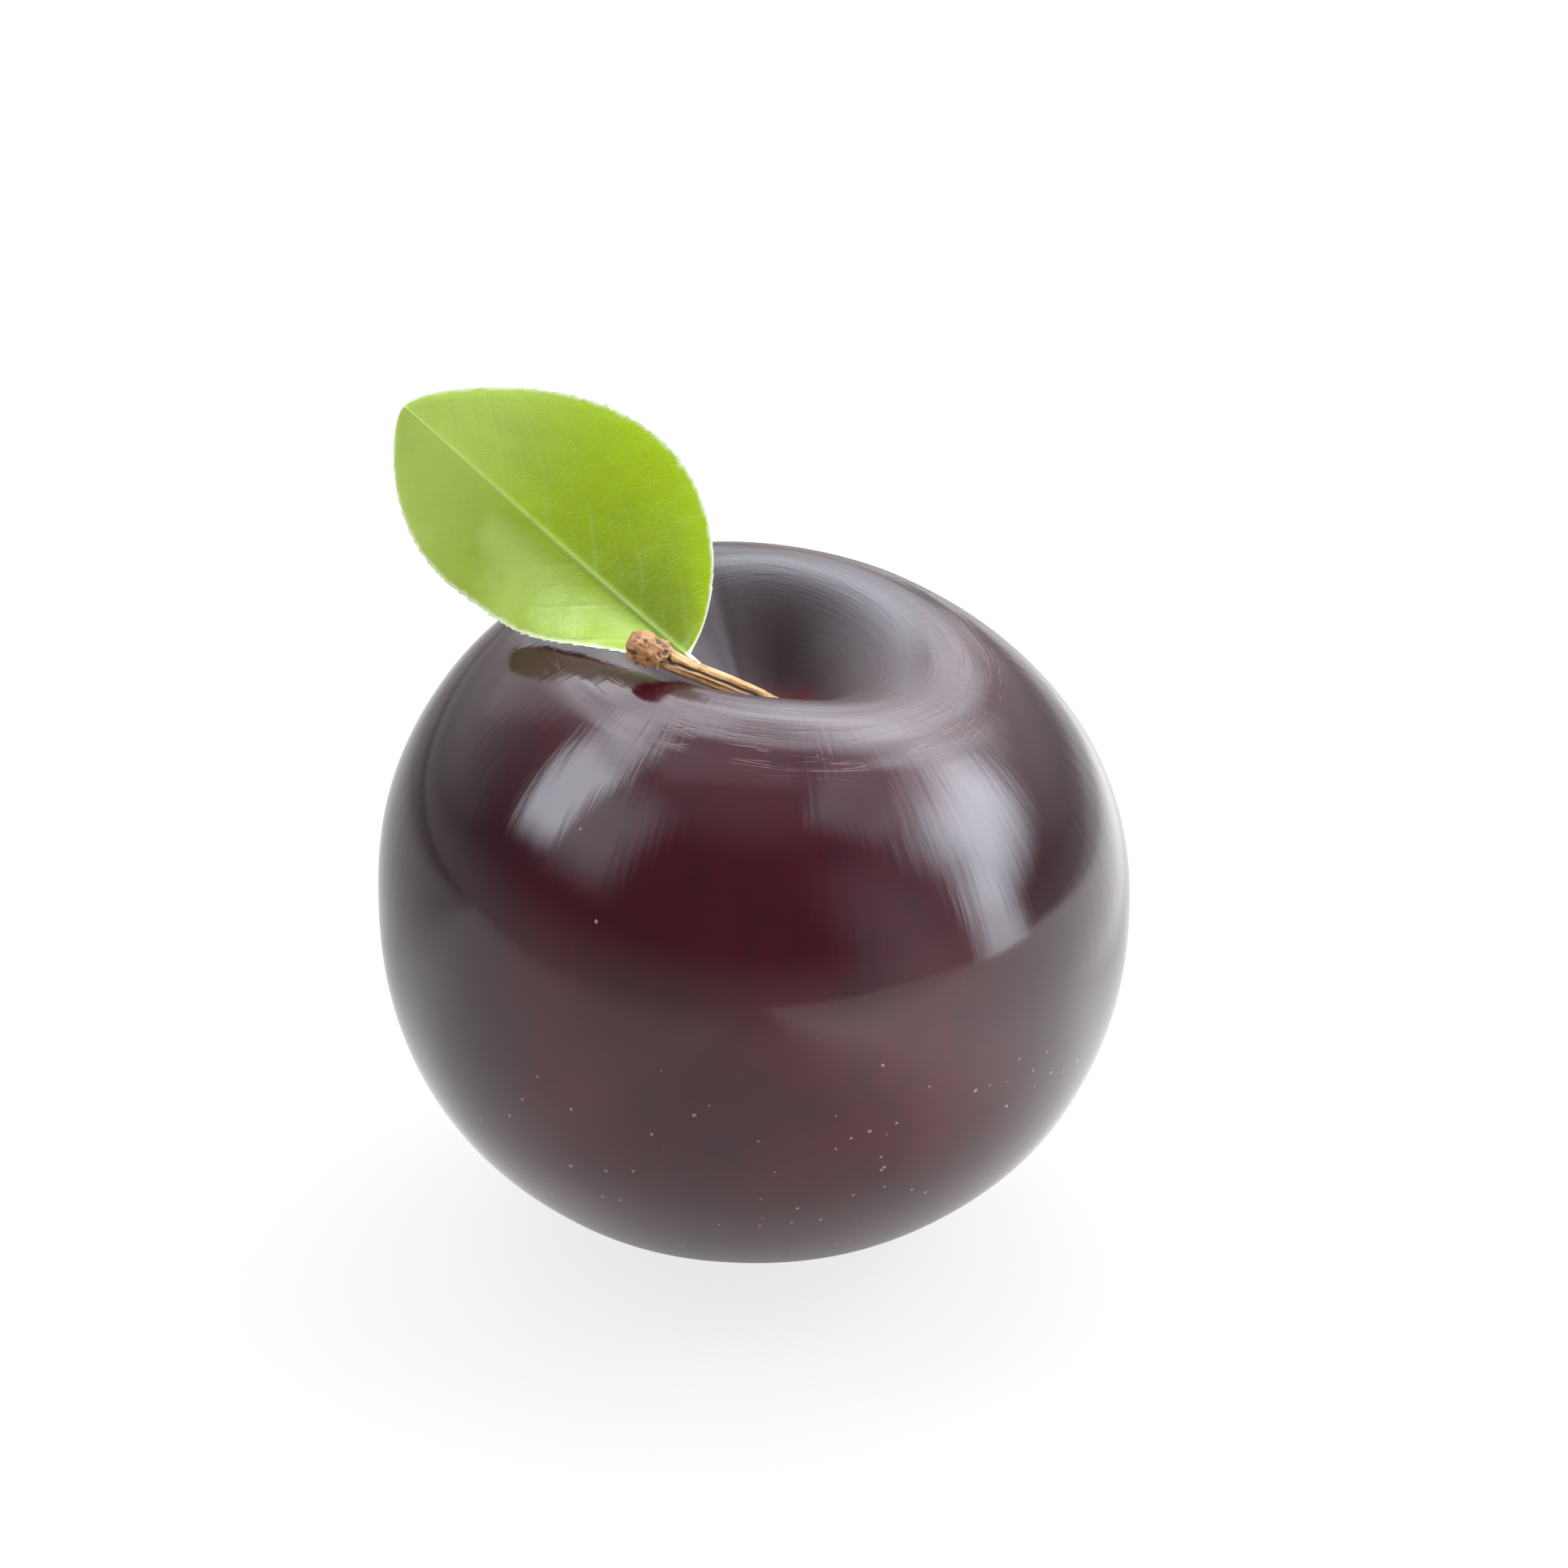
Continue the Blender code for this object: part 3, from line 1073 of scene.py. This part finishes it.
# %% Blade outline
LEAF_BASE = Vector((-5.5, -6.0, 54.8)) * MM
LEAF_ALONG = Vector((-0.706, 0.577, 0.408)).normalized()
LEAF_FACE = Vector((-0.208, -0.745, 0.619)).normalized()
LEAF_UPWARD = LEAF_ALONG.cross(LEAF_FACE).normalized()
LEAF_LENGTH = 32.0 * MM
LEAF_HALF_WIDTH = 11.8 * MM
LEAF_END_HALF_WIDTH = 0.35 * MM
LEAF_WIDEST_AT = 0.43
LEAF_BLUNTNESS = 0.72
LOWER_WIDTH_AT_BASE = 0.47
LOWER_WIDTH_GAIN = 1.10
LOWER_WIDTH_CURVE = 2.0


def on_blade(along):
    """This share of the length, held between the foot of the blade and its tip."""
    return min(1.0, max(0.0, along))


def blade_half_width(along, across):
    """Half-width of this half of the blade, at this share of its length."""
    stretch = math.log(0.5) / math.log(LEAF_WIDEST_AT)
    swell = max(0.0, math.sin(math.pi * on_blade(along) ** stretch)) ** LEAF_BLUNTNESS
    width = LEAF_END_HALF_WIDTH + LEAF_HALF_WIDTH * swell
    if across < 0:
        width *= LOWER_WIDTH_AT_BASE + LOWER_WIDTH_GAIN * on_blade(along) ** LOWER_WIDTH_CURVE
    return width


# %% [markdown]
# ## Teeth
#
# The edge of a plum leaf has small teeth that lean towards the tip. No two are alike: a
# noise shifts each tooth along the edge, and another one makes it longer or shorter.

# %% Teeth
TOOTH_LENGTH = 0.95 * MM
TOOTH_HEIGHT = 0.28 * MM
TOOTH_SHIFT = 0.9
TOOTH_SIZE = 0.55
TOOTH_SIZE_SPREAD = 0.9
TOOTH_LEAN = 1.5
TOOTH_MIDDLE = 0.45


def teeth_from_base(along):
    """The way along the blade, counted in teeth."""
    return along * LEAF_LENGTH / TOOTH_LENGTH


def tooth(along, across):
    """How far the edge stands out here."""
    place = teeth_from_base(along)
    place += TOOTH_SHIFT * noise.noise(Vector((place * 0.6, across * 5, 0.0)))
    which = Vector((math.floor(place) * 0.71, across * 9, 4.0))
    size = TOOTH_SIZE + TOOTH_SIZE_SPREAD * noise.noise(which)
    return TOOTH_HEIGHT * size * ((place % 1.0) ** TOOTH_LEAN - TOOTH_MIDDLE)


# %% [markdown]
# ## Veins
#
# The midrib is thick at the foot of the blade and fine at its tip. Side veins leave it
# at about half a right angle, bend towards the tip and grow faint before the edge, with
# weaker ones between them. A vein is a line of equal height in a slope that leans like
# the veins do: where the slope passes a whole number, the vein is 1, and beside it the
# value falls off like a bell.

# %% Veins
MIDRIB_AT_FOOT = 0.30
MIDRIB_TAPER = 0.20
SIDE_VEIN_SPACING = 5.3 * MM
SIDE_VEIN_START = 1.6 * MM
SIDE_VEIN_LEAN = 0.84
SIDE_VEIN_BEND = 17 * MM
SIDE_VEIN_WOBBLE = 0.5 * MM
SIDE_VEIN_WIDTH = 0.17 * MM
UPPER_VEINS_LEAD = 0.35
SHARE_ACROSS_VEIN = 0.66
VEIN_PRESENCE = 0.75
VEIN_PRESENCE_SPREAD = 0.9
FAINTER_AT_EDGE = 0.65
FAINTER_OVER = 9 * MM

# Each order of side veins: how far it lies between the first ones, and its strength
VEIN_ORDERS = ((0.0, 1.0), (0.52, 0.40))


def midrib(along, away):
    """1 on the middle of the midrib."""
    half_width = (MIDRIB_AT_FOOT - MIDRIB_TAPER * on_blade(along)) * MM
    return math.exp(-((away / half_width) ** 2))


def side_vein(length, away, half):
    """1 on a side vein, 0 between; length and away are measured along and from the midrib."""
    leans = SIDE_VEIN_LEAN * away + away**2 / SIDE_VEIN_BEND
    start = length - leans + (UPPER_VEINS_LEAD * SIDE_VEIN_SPACING if half > 0 else 0.0)
    wobble = SIDE_VEIN_WOBBLE * noise.noise(Vector((length, away, half * 2 * MM)) / (4 * MM))
    presence = noise.noise(Vector((length, away * half, 5 * MM)) / (3 * MM))
    presence = VEIN_PRESENCE + VEIN_PRESENCE_SPREAD * presence
    fading = 1 - FAINTER_AT_EDGE * smooth_step(away / FAINTER_OVER)
    best = 0.0
    for offset, strength in VEIN_ORDERS:
        turn = (start + wobble - SIDE_VEIN_START) / SIDE_VEIN_SPACING + offset
        apart = abs(turn - round(turn)) * SIDE_VEIN_SPACING * SHARE_ACROSS_VEIN
        bell = math.exp(-((apart / SIDE_VEIN_WIDTH) ** 2))
        best = max(best, strength * presence * fading * bell)
    return best


# %% [markdown]
# ## Surface of the blade
#
# The middle of the blade's thickness is one curved sheet. It bends forward towards the
# tip, each half folds about the midrib by an angle of its own, and a slow wave lifts
# the edge here and there. The fold is rounded in the midrib, as a crease in a fresh leaf
# never is sharp.

# %% Surface of the blade
LEAF_FORWARD_BEND = 3.8 * MM
UPPER_FOLD = math.radians(8)
LOWER_FOLD_AT_BASE = math.radians(35)
LOWER_FOLD_AT_TIP = math.radians(-30)
LOWER_FOLD_SETTLES_AT = 0.6
CREASE_ROUNDING = 0.7 * MM
WAVE_HEIGHT = 0.55 * MM
WAVES_ALONG = 5.0
TEETH_AT_EDGE = 12
TEETH_START_OVER = 0.1
TEETH_END_OVER = 0.05


def fold_of(along, across):
    """The angle by which this half of the blade is folded forward here."""
    if across >= 0:
        return UPPER_FOLD
    turned = smooth_step(along / LOWER_FOLD_SETTLES_AT)
    return LOWER_FOLD_AT_BASE + (LOWER_FOLD_AT_TIP - LOWER_FOLD_AT_BASE) * turned


def blade_point(along, across):
    """Point in the middle of the blade's thickness; across is -1 to 1, lower edge to upper."""
    half = 1.0 if across > 0 else -1.0
    away = blade_half_width(along, across) * abs(across)
    if along > 0:
        ends = smooth_step(along / TEETH_START_OVER) * smooth_step((1 - along) / TEETH_END_OVER)
        away += tooth(along, across) * abs(across) ** TEETH_AT_EDGE * ends
    fold = fold_of(along, across)
    lift = math.sqrt(away**2 + CREASE_ROUNDING**2) - CREASE_ROUNDING
    wave = WAVE_HEIGHT * noise.noise(Vector((along * WAVES_ALONG, half * 3.0, 2.0)))
    wave *= (away / LEAF_HALF_WIDTH) ** 2
    bend = LEAF_FORWARD_BEND * along * abs(along)
    point = LEAF_BASE + LEAF_LENGTH * along * LEAF_ALONG
    point += math.cos(fold) * away * half * LEAF_UPWARD
    return point + (math.sin(fold) * lift + wave + bend) * LEAF_FACE


# %% [markdown]
# ## Face and back of the blade
#
# The flesh is thinner at the edge. On the face the side veins lie in shallow furrows and
# the flesh between them is slightly plump. On the back the veins stand out, the midrib
# most of all. Near the stalk the blade draws together into a round foot.

# %% Face and back of the blade
# Thicknesses and heights are in mm, and lengths along the blade are shares of it
FLESH_AT_EDGE = 0.06
FLESH_GAIN = 0.09
EDGE_WIDTH = 1.2
FOOT_RADIUS = 0.42
FOOT_FADE = 0.06
FOOT_LEAD = 0.4
RIB_TAPER = 0.75
VEINS_START_OVER = 0.04
FACE_RIB = 0.16
FACE_VEIN = 0.045
FACE_PLUMP = 0.04
PLUMP_SIZE = 1.6 * MM
BACK_RIB = 0.50
BACK_VEIN = 0.12
SIDE_VEIN_PALENESS = 0.30


def leaf_relief(along, across, on_face):
    """How far the face or the back stands off the middle of the blade, and the vein there."""
    half = 1 if across > 0 else -1
    half_width = blade_half_width(along, across)
    away = half_width * abs(across)
    length = LEAF_LENGTH * along
    rib = midrib(along, away)
    vein = side_vein(length, away, half) * (1 - rib) * smooth_step(along / VEINS_START_OVER)
    inwards = smooth_step((1 - abs(across)) * half_width / (EDGE_WIDTH * MM))
    taper = 1 - RIB_TAPER * on_blade(along)
    if on_face:
        plump = noise.noise(Vector((length, away * half, 0.0)) / PLUMP_SIZE)
        relief = FACE_RIB * rib * taper - FACE_VEIN * vein + FACE_PLUMP * plump * inwards
    else:
        relief = BACK_RIB * rib * taper + BACK_VEIN * vein
    foot = 1 - smooth_step(along / FOOT_FADE + FOOT_LEAD)
    round_foot = FOOT_RADIUS * math.sqrt(max(0.0, 1 - across**2)) * foot
    height = (FLESH_AT_EDGE + FLESH_GAIN * inwards + relief + round_foot) * MM
    return height, max(rib, SIDE_VEIN_PALENESS * vein)


# %% [markdown]
# ## Building the leaf
#
# A cube cut along and across is the slab. Its corners are laid on the blade, each as far
# off the middle as the relief says, square to the sheet there. The mesh also keeps what
# the colours need: veins, underside, pale edge, and the place along and across.

# %% Build the leaf
LEAF_CELLS_ALONG = 240
LEAF_CELLS_ACROSS = 150
LEAF_MARKS = ("vein", "underside", "edge", "along", "across")
FOOT_LENGTH = 0.045
STEP_ALONG = 0.002
STEP_ACROSS = 0.01
PALE_EDGE = 0.52
PALE_EDGE_SPREAD = 0.30


def blade_normal(along, across):
    """The way that the face looks here, square to the sheet."""
    tangent = blade_point(along + STEP_ALONG, across) - blade_point(along - STEP_ALONG, across)
    inner, outer = max(-1.0, across - STEP_ACROSS), min(1.0, across + STEP_ACROSS)
    sideways = blade_point(along, outer) - blade_point(along, inner)
    return sideways.cross(tangent).normalized()


def pale_edge(along, across):
    """1 at the edge of the blade, fading to 0 over an uneven margin."""
    uneven = noise.noise(Vector((teeth_from_base(along), across, 3.0)))
    margin = (PALE_EDGE + PALE_EDGE_SPREAD * uneven) * MM
    return 1 - smooth_step((1 - abs(across)) * blade_half_width(along, across) / margin)


def build_leaf():
    bm = bmesh.new()
    bmesh.ops.create_cube(bm, size=2.0)
    for axis, cells in ((0, LEAF_CELLS_ALONG), (1, LEAF_CELLS_ACROSS)):
        edges = edges_along(bm, axis)
        bmesh.ops.subdivide_edges(bm, edges=edges, cuts=cells - 1, use_grid_fill=True)
    layers = [bm.verts.layers.float.new(name) for name in LEAF_MARKS]
    for vert in bm.verts:
        along = (vert.co.x + 1) / 2 * (1 + FOOT_LENGTH) - FOOT_LENGTH
        across = vert.co.y
        on_face = vert.co.z > 0
        height, vein = leaf_relief(along, across, on_face)
        off_sheet = blade_normal(along, across) * (height if on_face else -height)
        vert.co = blade_point(along, across) + off_sheet
        underside = 0.0 if on_face else 1.0
        marks = (vein, underside, pale_edge(along, across), along, across)
        for layer, mark in zip(layers, marks):
            vert[layer] = mark
    return bm


# %% [markdown]
# ## Leaf finish
#
# A young plum leaf is a bright yellow green. It is deeper beside the midrib near the
# base and yellower towards the lower edge, with pale veins and a pale rim. Brighter
# green along the upper edge is painted light shining through the blade, and the paler
# patches below the midrib and towards the tip are a painted sheen.
# Its back is duller. The mesh holds how near each point is to a vein and to the edge,
# and where it is on the blade, so the colour follows the leaf's own shape. A Voronoi
# texture adds the finest net of veins: its cells are the fields, and the borders between
# them are the net.

# %% Leaf colours
LEAF_VIVID = (0.280, 0.400, 0.004, 1.0)
LEAF_DEEP = (0.190, 0.270, 0.008, 1.0)
LEAF_YELLOW = (0.340, 0.470, 0.020, 1.0)
# Painted sheen: the pale, whitish green of light reflected off the blade
LEAF_PAINTED_SHEEN = (0.460, 0.600, 0.150, 1.0)
# Painted light shining through the blade along its upper edge
LEAF_LIT_THROUGH = (0.360, 0.520, 0.003, 1.0)
LEAF_BACK = (0.150, 0.215, 0.060, 1.0)
VEIN_PALE = (0.340, 0.460, 0.120, 1.0)
EDGE_PALE = (0.740, 0.800, 0.540, 1.0)

# %% Masks on the leaf
# Fades are over shares of the half-width (below zero on the lower half) or of the length
DEEP_ACROSS = (0.75, 0.1)
DEEP_ALONG = (0.75, 0.15)
DEEP_SHARE = 0.75
DEEP_PATCHES = (5.0, 0.42, 0.66)
DEEP_PATCH_SHARE = 0.3
# Where the painted sheen lies
SHEEN_ACROSS = (0.05, -0.40)
SHEEN_PATCHES = (7.0, 0.30, 0.60)
SHEEN_SHARE = 0.65
SHEEN_TIP = (0.45, 0.90, 0.0, 0.55)
NET_CELLS_PER_MM = 1.5
NET_LINE = (0.07, 0.0)


def deep_green(tree, place, along, across):
    """A mask of the green beside the midrib near the base, and of a few patches elsewhere."""
    near_rib = fade(tree, calculate(tree, "ABSOLUTE", across), *DEEP_ACROSS)
    near_foot = fade(tree, along, *DEEP_ALONG)
    elsewhere = product(tree, patches(tree, place, *DEEP_PATCHES), DEEP_PATCH_SHARE)
    deep = product(tree, near_rib, near_foot)
    return calculate(tree, "MULTIPLY_ADD", deep, DEEP_SHARE, elsewhere, clamp=True)


def painted_sheen(tree, place, along, across):
    """A mask of painted sheen, in cloudy patches below the midrib and at the tip."""
    cloudy = patches(tree, place, *SHEEN_PATCHES)
    below = product(tree, fade(tree, across, *SHEEN_ACROSS), cloudy, SHEEN_SHARE)
    return calculate(tree, "MAXIMUM", below, fade(tree, along, *SHEEN_TIP))


def fine_net(tree, place):
    """A mask of the finest veins."""
    inputs = {"Vector": place, "Scale": NET_CELLS_PER_MM, "Randomness": 1.0}
    cells = add_node(tree, "ShaderNodeTexVoronoi", inputs, feature="DISTANCE_TO_EDGE")
    return fade(tree, cells.outputs["Distance"], *NET_LINE)


# %% Leaf material and piece
YELLOW_ACROSS = (-0.45, -0.95)
YELLOW_SHARE = 0.6
# Where the painted light through the blade lies
LIT_THROUGH_ACROSS = (0.55, 0.90)
LIT_THROUGH_SHARE = 0.6
NET_SHARE = 0.10
VEIN_SHARE = 0.8
BACK_SHARE = 0.8
NET_RELIEF = -0.012
LEAF_GRAIN = (0.25, 0.006)
LEAF_ROUGHNESS = 0.26
LEAF_GRAIN_ROUGHNESS = 0.12
LEAF_IOR = 1.35


def make_leaf_material():
    material, tree, shader = new_material("leaf_green")
    place = place_in_mm(tree)
    vein, underside, edge, along, across = (attribute(tree, name) for name in LEAF_MARKS)
    net = fine_net(tree, place)
    coats = (
        (deep_green(tree, place, along, across), LEAF_DEEP),
        (product(tree, fade(tree, across, *YELLOW_ACROSS), YELLOW_SHARE), LEAF_YELLOW),
        # painted light shining through the upper edge
        (product(tree, fade(tree, across, *LIT_THROUGH_ACROSS), LIT_THROUGH_SHARE), LEAF_LIT_THROUGH),
        # painted sheen
        (painted_sheen(tree, place, along, across), LEAF_PAINTED_SHEEN),
        (product(tree, net, NET_SHARE), VEIN_PALE),
        (product(tree, vein, VEIN_SHARE), VEIN_PALE),
        (product(tree, underside, BACK_SHARE), LEAF_BACK),
        (edge, EDGE_PALE),
    )
    normal, grain = fine_grain(tree, place, *LEAF_GRAIN, product(tree, net, NET_RELIEF))
    rough = add_up(tree, LEAF_ROUGHNESS, ((grain, LEAF_GRAIN_ROUGHNESS),))
    tree.links.new(lay_coats(tree, LEAF_VIVID, coats), shader.inputs["Base Color"])
    tree.links.new(normal, shader.inputs["Normal"])
    tree.links.new(rough, shader.inputs["Roughness"])
    shader.inputs["IOR"].default_value = LEAF_IOR
    return material


add_piece("leaf_blade", build_leaf(), make_leaf_material(), "leaf")

# %% [markdown]
# ## Table
#
# The plum stands on a white table that is lit from inside. Gloss shows its surroundings,
# so the lower half of the skin is a picture of the table: dark close to the foot, where
# the fruit shades it, a little brighter on the left, much brighter on the right, and
# dimmer towards the front, far behind and in a field right behind the fruit. Each of
# these is one fade of the table's own light. To the camera the table is white all over:
# a Light Path node tells what looks at it. From below it is clear, so that the foot of
# the fruit can be looked at too.

# %% Table
TABLE_HALF_SIDE = 3.0
TABLE_GAP = 0.03 * MM
TABLE_COLOUR = (0.13, 0.120, 0.11, 1.0)
TABLE_ROUGHNESS = 0.6
TABLE_GLOW = 0.80

# Each fade of its light: where it starts and ends in mm, and the light at both ends
TABLE_FOOT = (10.0, 30.0, 0.3, 1.0)
TABLE_FAR_BEHIND = (90.0, 250.0, 1.0, 0.4)
TABLE_FRONT = (-10.0, -500.0, 1.03, 0.72)
TABLE_LEFT = (-20.0, -45.0, 1.0, 1.15)
TABLE_RIGHT = (15.0, 75.0, 1.0, 2.4)
TABLE_BEHIND = (0.0, 40.0, 1.0, 0.55)
TABLE_BEHIND_UP_TO = (30.0, 85.0, 0.0, 1.0)


def table_light(tree):
    """The table's own light at each place, as the skin sees it."""
    place = place_in_mm(tree)
    axes = axes_of(tree, place)
    reach = calculate_vector(tree, "LENGTH", {0: place})["Value"]
    side, depth = axes["X"], axes["Y"]
    behind = fade(tree, depth, *TABLE_BEHIND)
    beside = fade(tree, side, *TABLE_BEHIND_UP_TO)
    return product(
        tree,
        fade(tree, reach, *TABLE_FOOT),
        fade(tree, depth, *TABLE_FAR_BEHIND),
        fade(tree, depth, *TABLE_FRONT),
        fade(tree, side, *TABLE_LEFT),
        fade(tree, side, *TABLE_RIGHT),
        calculate(tree, "MAXIMUM", behind, beside),
    )


def make_table_material():
    material, tree, shader = new_material("table_white")
    seen = add_node(tree, "ShaderNodeLightPath").outputs["Is Camera Ray"]
    light = add_node(tree, "ShaderNodeMix", {0: seen, 2: table_light(tree), 3: 1.0}).outputs[0]
    glow = calculate_vector(tree, "SCALE", {0: (1.0, 1.0, 1.0), "Scale": light})[0]
    tree.links.new(glow, shader.inputs["Emission Color"])
    shader.inputs["Base Color"].default_value = TABLE_COLOUR
    shader.inputs["Emission Strength"].default_value = TABLE_GLOW
    shader.inputs["Roughness"].default_value = TABLE_ROUGHNESS
    shader.inputs["Specular IOR Level"].default_value = 0.0

    from_below = add_node(tree, "ShaderNodeNewGeometry").outputs["Backfacing"]
    clear = add_node(tree, "ShaderNodeBsdfTransparent").outputs[0]
    inputs = {0: from_below, 1: shader.outputs[0], 2: clear}
    either = add_node(tree, "ShaderNodeMixShader", inputs).outputs[0]
    tree.links.new(either, tree.nodes["Material Output"].inputs["Surface"])
    return material


def make_table():
    bm = bmesh.new()
    bmesh.ops.create_grid(bm, x_segments=1, y_segments=1, size=TABLE_HALF_SIDE)
    bmesh.ops.translate(bm, verts=bm.verts[:], vec=(0, 0, -TABLE_GAP))
    table = make_object("table", bm, make_table_material())
    table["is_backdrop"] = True


make_table()

# %% [markdown]
# ## Lamps
#
# The upper half of the skin is a picture of the lamps: large soft panels on the right
# and on the left, and fainter ones in front, behind and above. A plain area lamp would
# show as a hard rectangle, so the glow of each fades towards its edges, and the right
# lamp has one low corner folded away, which makes its reflection taper.

# %% Soft panels
LAMP_DISTANCE = 0.9
LAMP_COLOUR = (0.84, 0.91, 1.0)
PANEL_EDGE = 0.22


def soften_panel(data, edge, folded):
    """Fades the glow towards the panel's edges, and folds this share of one low corner away."""
    data.use_nodes = True
    tree = data.node_tree
    spot = axes_of(tree, add_node(tree, "ShaderNodeNewGeometry").outputs["Parametric"])
    across, up = spot["X"], spot["Y"]
    sides = (
        across,
        calculate(tree, "SUBTRACT", 1.0, across),
        calculate(tree, "MULTIPLY_ADD", across, -folded, up),
        calculate(tree, "SUBTRACT", 1.0, up),
    )
    share = product(tree, *[fade(tree, side, 0.0, edge) for side in sides])
    tree.links.new(share, tree.nodes["Emission"].inputs["Strength"])


def panel_side(angle):
    """The side of a panel that fills this angle as the fruit sees it."""
    return 2 * LAMP_DISTANCE * math.tan(math.radians(angle) / 2)


def add_lamp(name, azimuth, elevation, width, height, glow, roll=0, edge=PANEL_EDGE, folded=0.0):
    """A soft panel that faces the fruit; azimuth 0 is in front, 90 on the right; all in degrees."""
    data = bpy.data.lights.new(name, "AREA")
    data.shape = "RECTANGLE"
    data.size = panel_side(width)
    data.size_y = panel_side(height)
    data.energy = glow * math.pi * data.size * data.size_y
    data.color = LAMP_COLOUR
    soften_panel(data, edge, folded)
    lamp = bpy.data.objects.new(name, data)
    bpy.context.scene.collection.objects.link(lamp)
    a, e = math.radians(azimuth), math.radians(elevation)
    way = Vector((math.sin(a) * math.cos(e), -math.cos(a) * math.cos(e), math.sin(e)))
    facing = (-way).to_track_quat("-Z", "Y").to_matrix().to_4x4()
    turn = facing @ Matrix.Rotation(math.radians(roll), 4, "Z")
    lamp.matrix_world = Matrix.Translation(FRUIT_CENTRE + LAMP_DISTANCE * way) @ turn
    lamp.visible_camera = False


# %% Place the lamps
add_lamp("right lamp", 98, 31, 58, 56, 12, edge=0.40, folded=0.3)
add_lamp("right edge lamp", 76, 10, 24, 48, 7, edge=0.4)
add_lamp("right back lamp", 148, 44, 54, 50, 3.2, edge=0.35)
add_lamp("right front lamp", 50, 22, 56, 80, 0.9, edge=0.5)
add_lamp("right top lamp", 90, 62, 44, 24, 1.5)
add_lamp("left lamp", -89, 47, 24, 46, 8.0, roll=18, edge=0.30)
add_lamp("left inner lamp", -62, 47, 38, 52, 2.0, edge=0.4)
add_lamp("left arc lamp", -114, 67, 26, 16, 4, roll=30, edge=0.4)
add_lamp("back arc lamp", -148, 70, 50, 18, 1.8)
add_lamp("left back lamp", -150, 38, 50, 40, 0.6)
add_lamp("back lamp", 180, 30, 60, 50, 1.2)
add_lamp("back top lamp", 174, 60, 80, 46, 4, edge=0.3)
add_lamp("top lamp", 180, 86, 40, 30, 0.7)
print("lamps:", len(bpy.data.lights))

# %% [markdown]
# ## Room
#
# What is neither table nor lamp is the room. It is dim in front, which gives the middle
# of the skin its deep colour, brighter along the horizon and overhead, and brightest
# behind the fruit. To the camera it is white, like the table, so that only the fruit's
# own shadow shows round it.

# %% Room
# Heights and depths are those of the way that a ray looks, from -1 to 1
FRONT_GLOW = 0.20
HORIZON_GLOW = 0.65
HORIZON_UP_TO = 0.35
OVERHEAD_GLOW = 0.50
OVERHEAD_FROM = 0.80
BACK_GLOW = 1.00
BACK_START = -0.1
BACK_FULL = 0.7
BACK_GLOW_LOW = 0.55
BACK_RISE = (0.05, 0.30, BACK_GLOW_LOW, 1.0)


def make_room():
    world = bpy.data.worlds.new("room")
    world.use_nodes = True
    bpy.context.scene.world = world
    tree = world.node_tree
    way = axes_of(tree, add_node(tree, "ShaderNodeTexCoord").outputs["Generated"])
    low = fade(tree, way["Z"], HORIZON_UP_TO, 0.0, FRONT_GLOW, HORIZON_GLOW)
    high = fade(tree, way["Z"], OVERHEAD_FROM, 1.0, 0.0, OVERHEAD_GLOW)
    behind = fade(tree, way["Y"], BACK_START, BACK_FULL, 0.0, BACK_GLOW)
    behind = product(tree, behind, fade(tree, way["Z"], *BACK_RISE))
    light = calculate(tree, "MAXIMUM", calculate(tree, "ADD", low, high), behind)
    seen = add_node(tree, "ShaderNodeLightPath").outputs["Is Camera Ray"]
    background = tree.nodes["Background"]
    background.inputs["Color"].default_value = (1.0, 1.0, 1.0, 1.0)
    tree.links.new(calculate(tree, "MAXIMUM", light, seen), background.inputs["Strength"])


make_room()
bpy.context.scene.view_settings.view_transform = "Standard"

# %% [markdown]
# ## Finish
#
# The looks must not change the size of the thing, so the last cell writes the box of the
# solid model and the box of what is shown, for a comparison.

# %% Compare the sizes and finish
shown_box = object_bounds()
for name, box in (("solid", cad_box), ("shown", shown_box)):
    print(name, [[round(value / MM, 2) for value in corner] for corner in box])
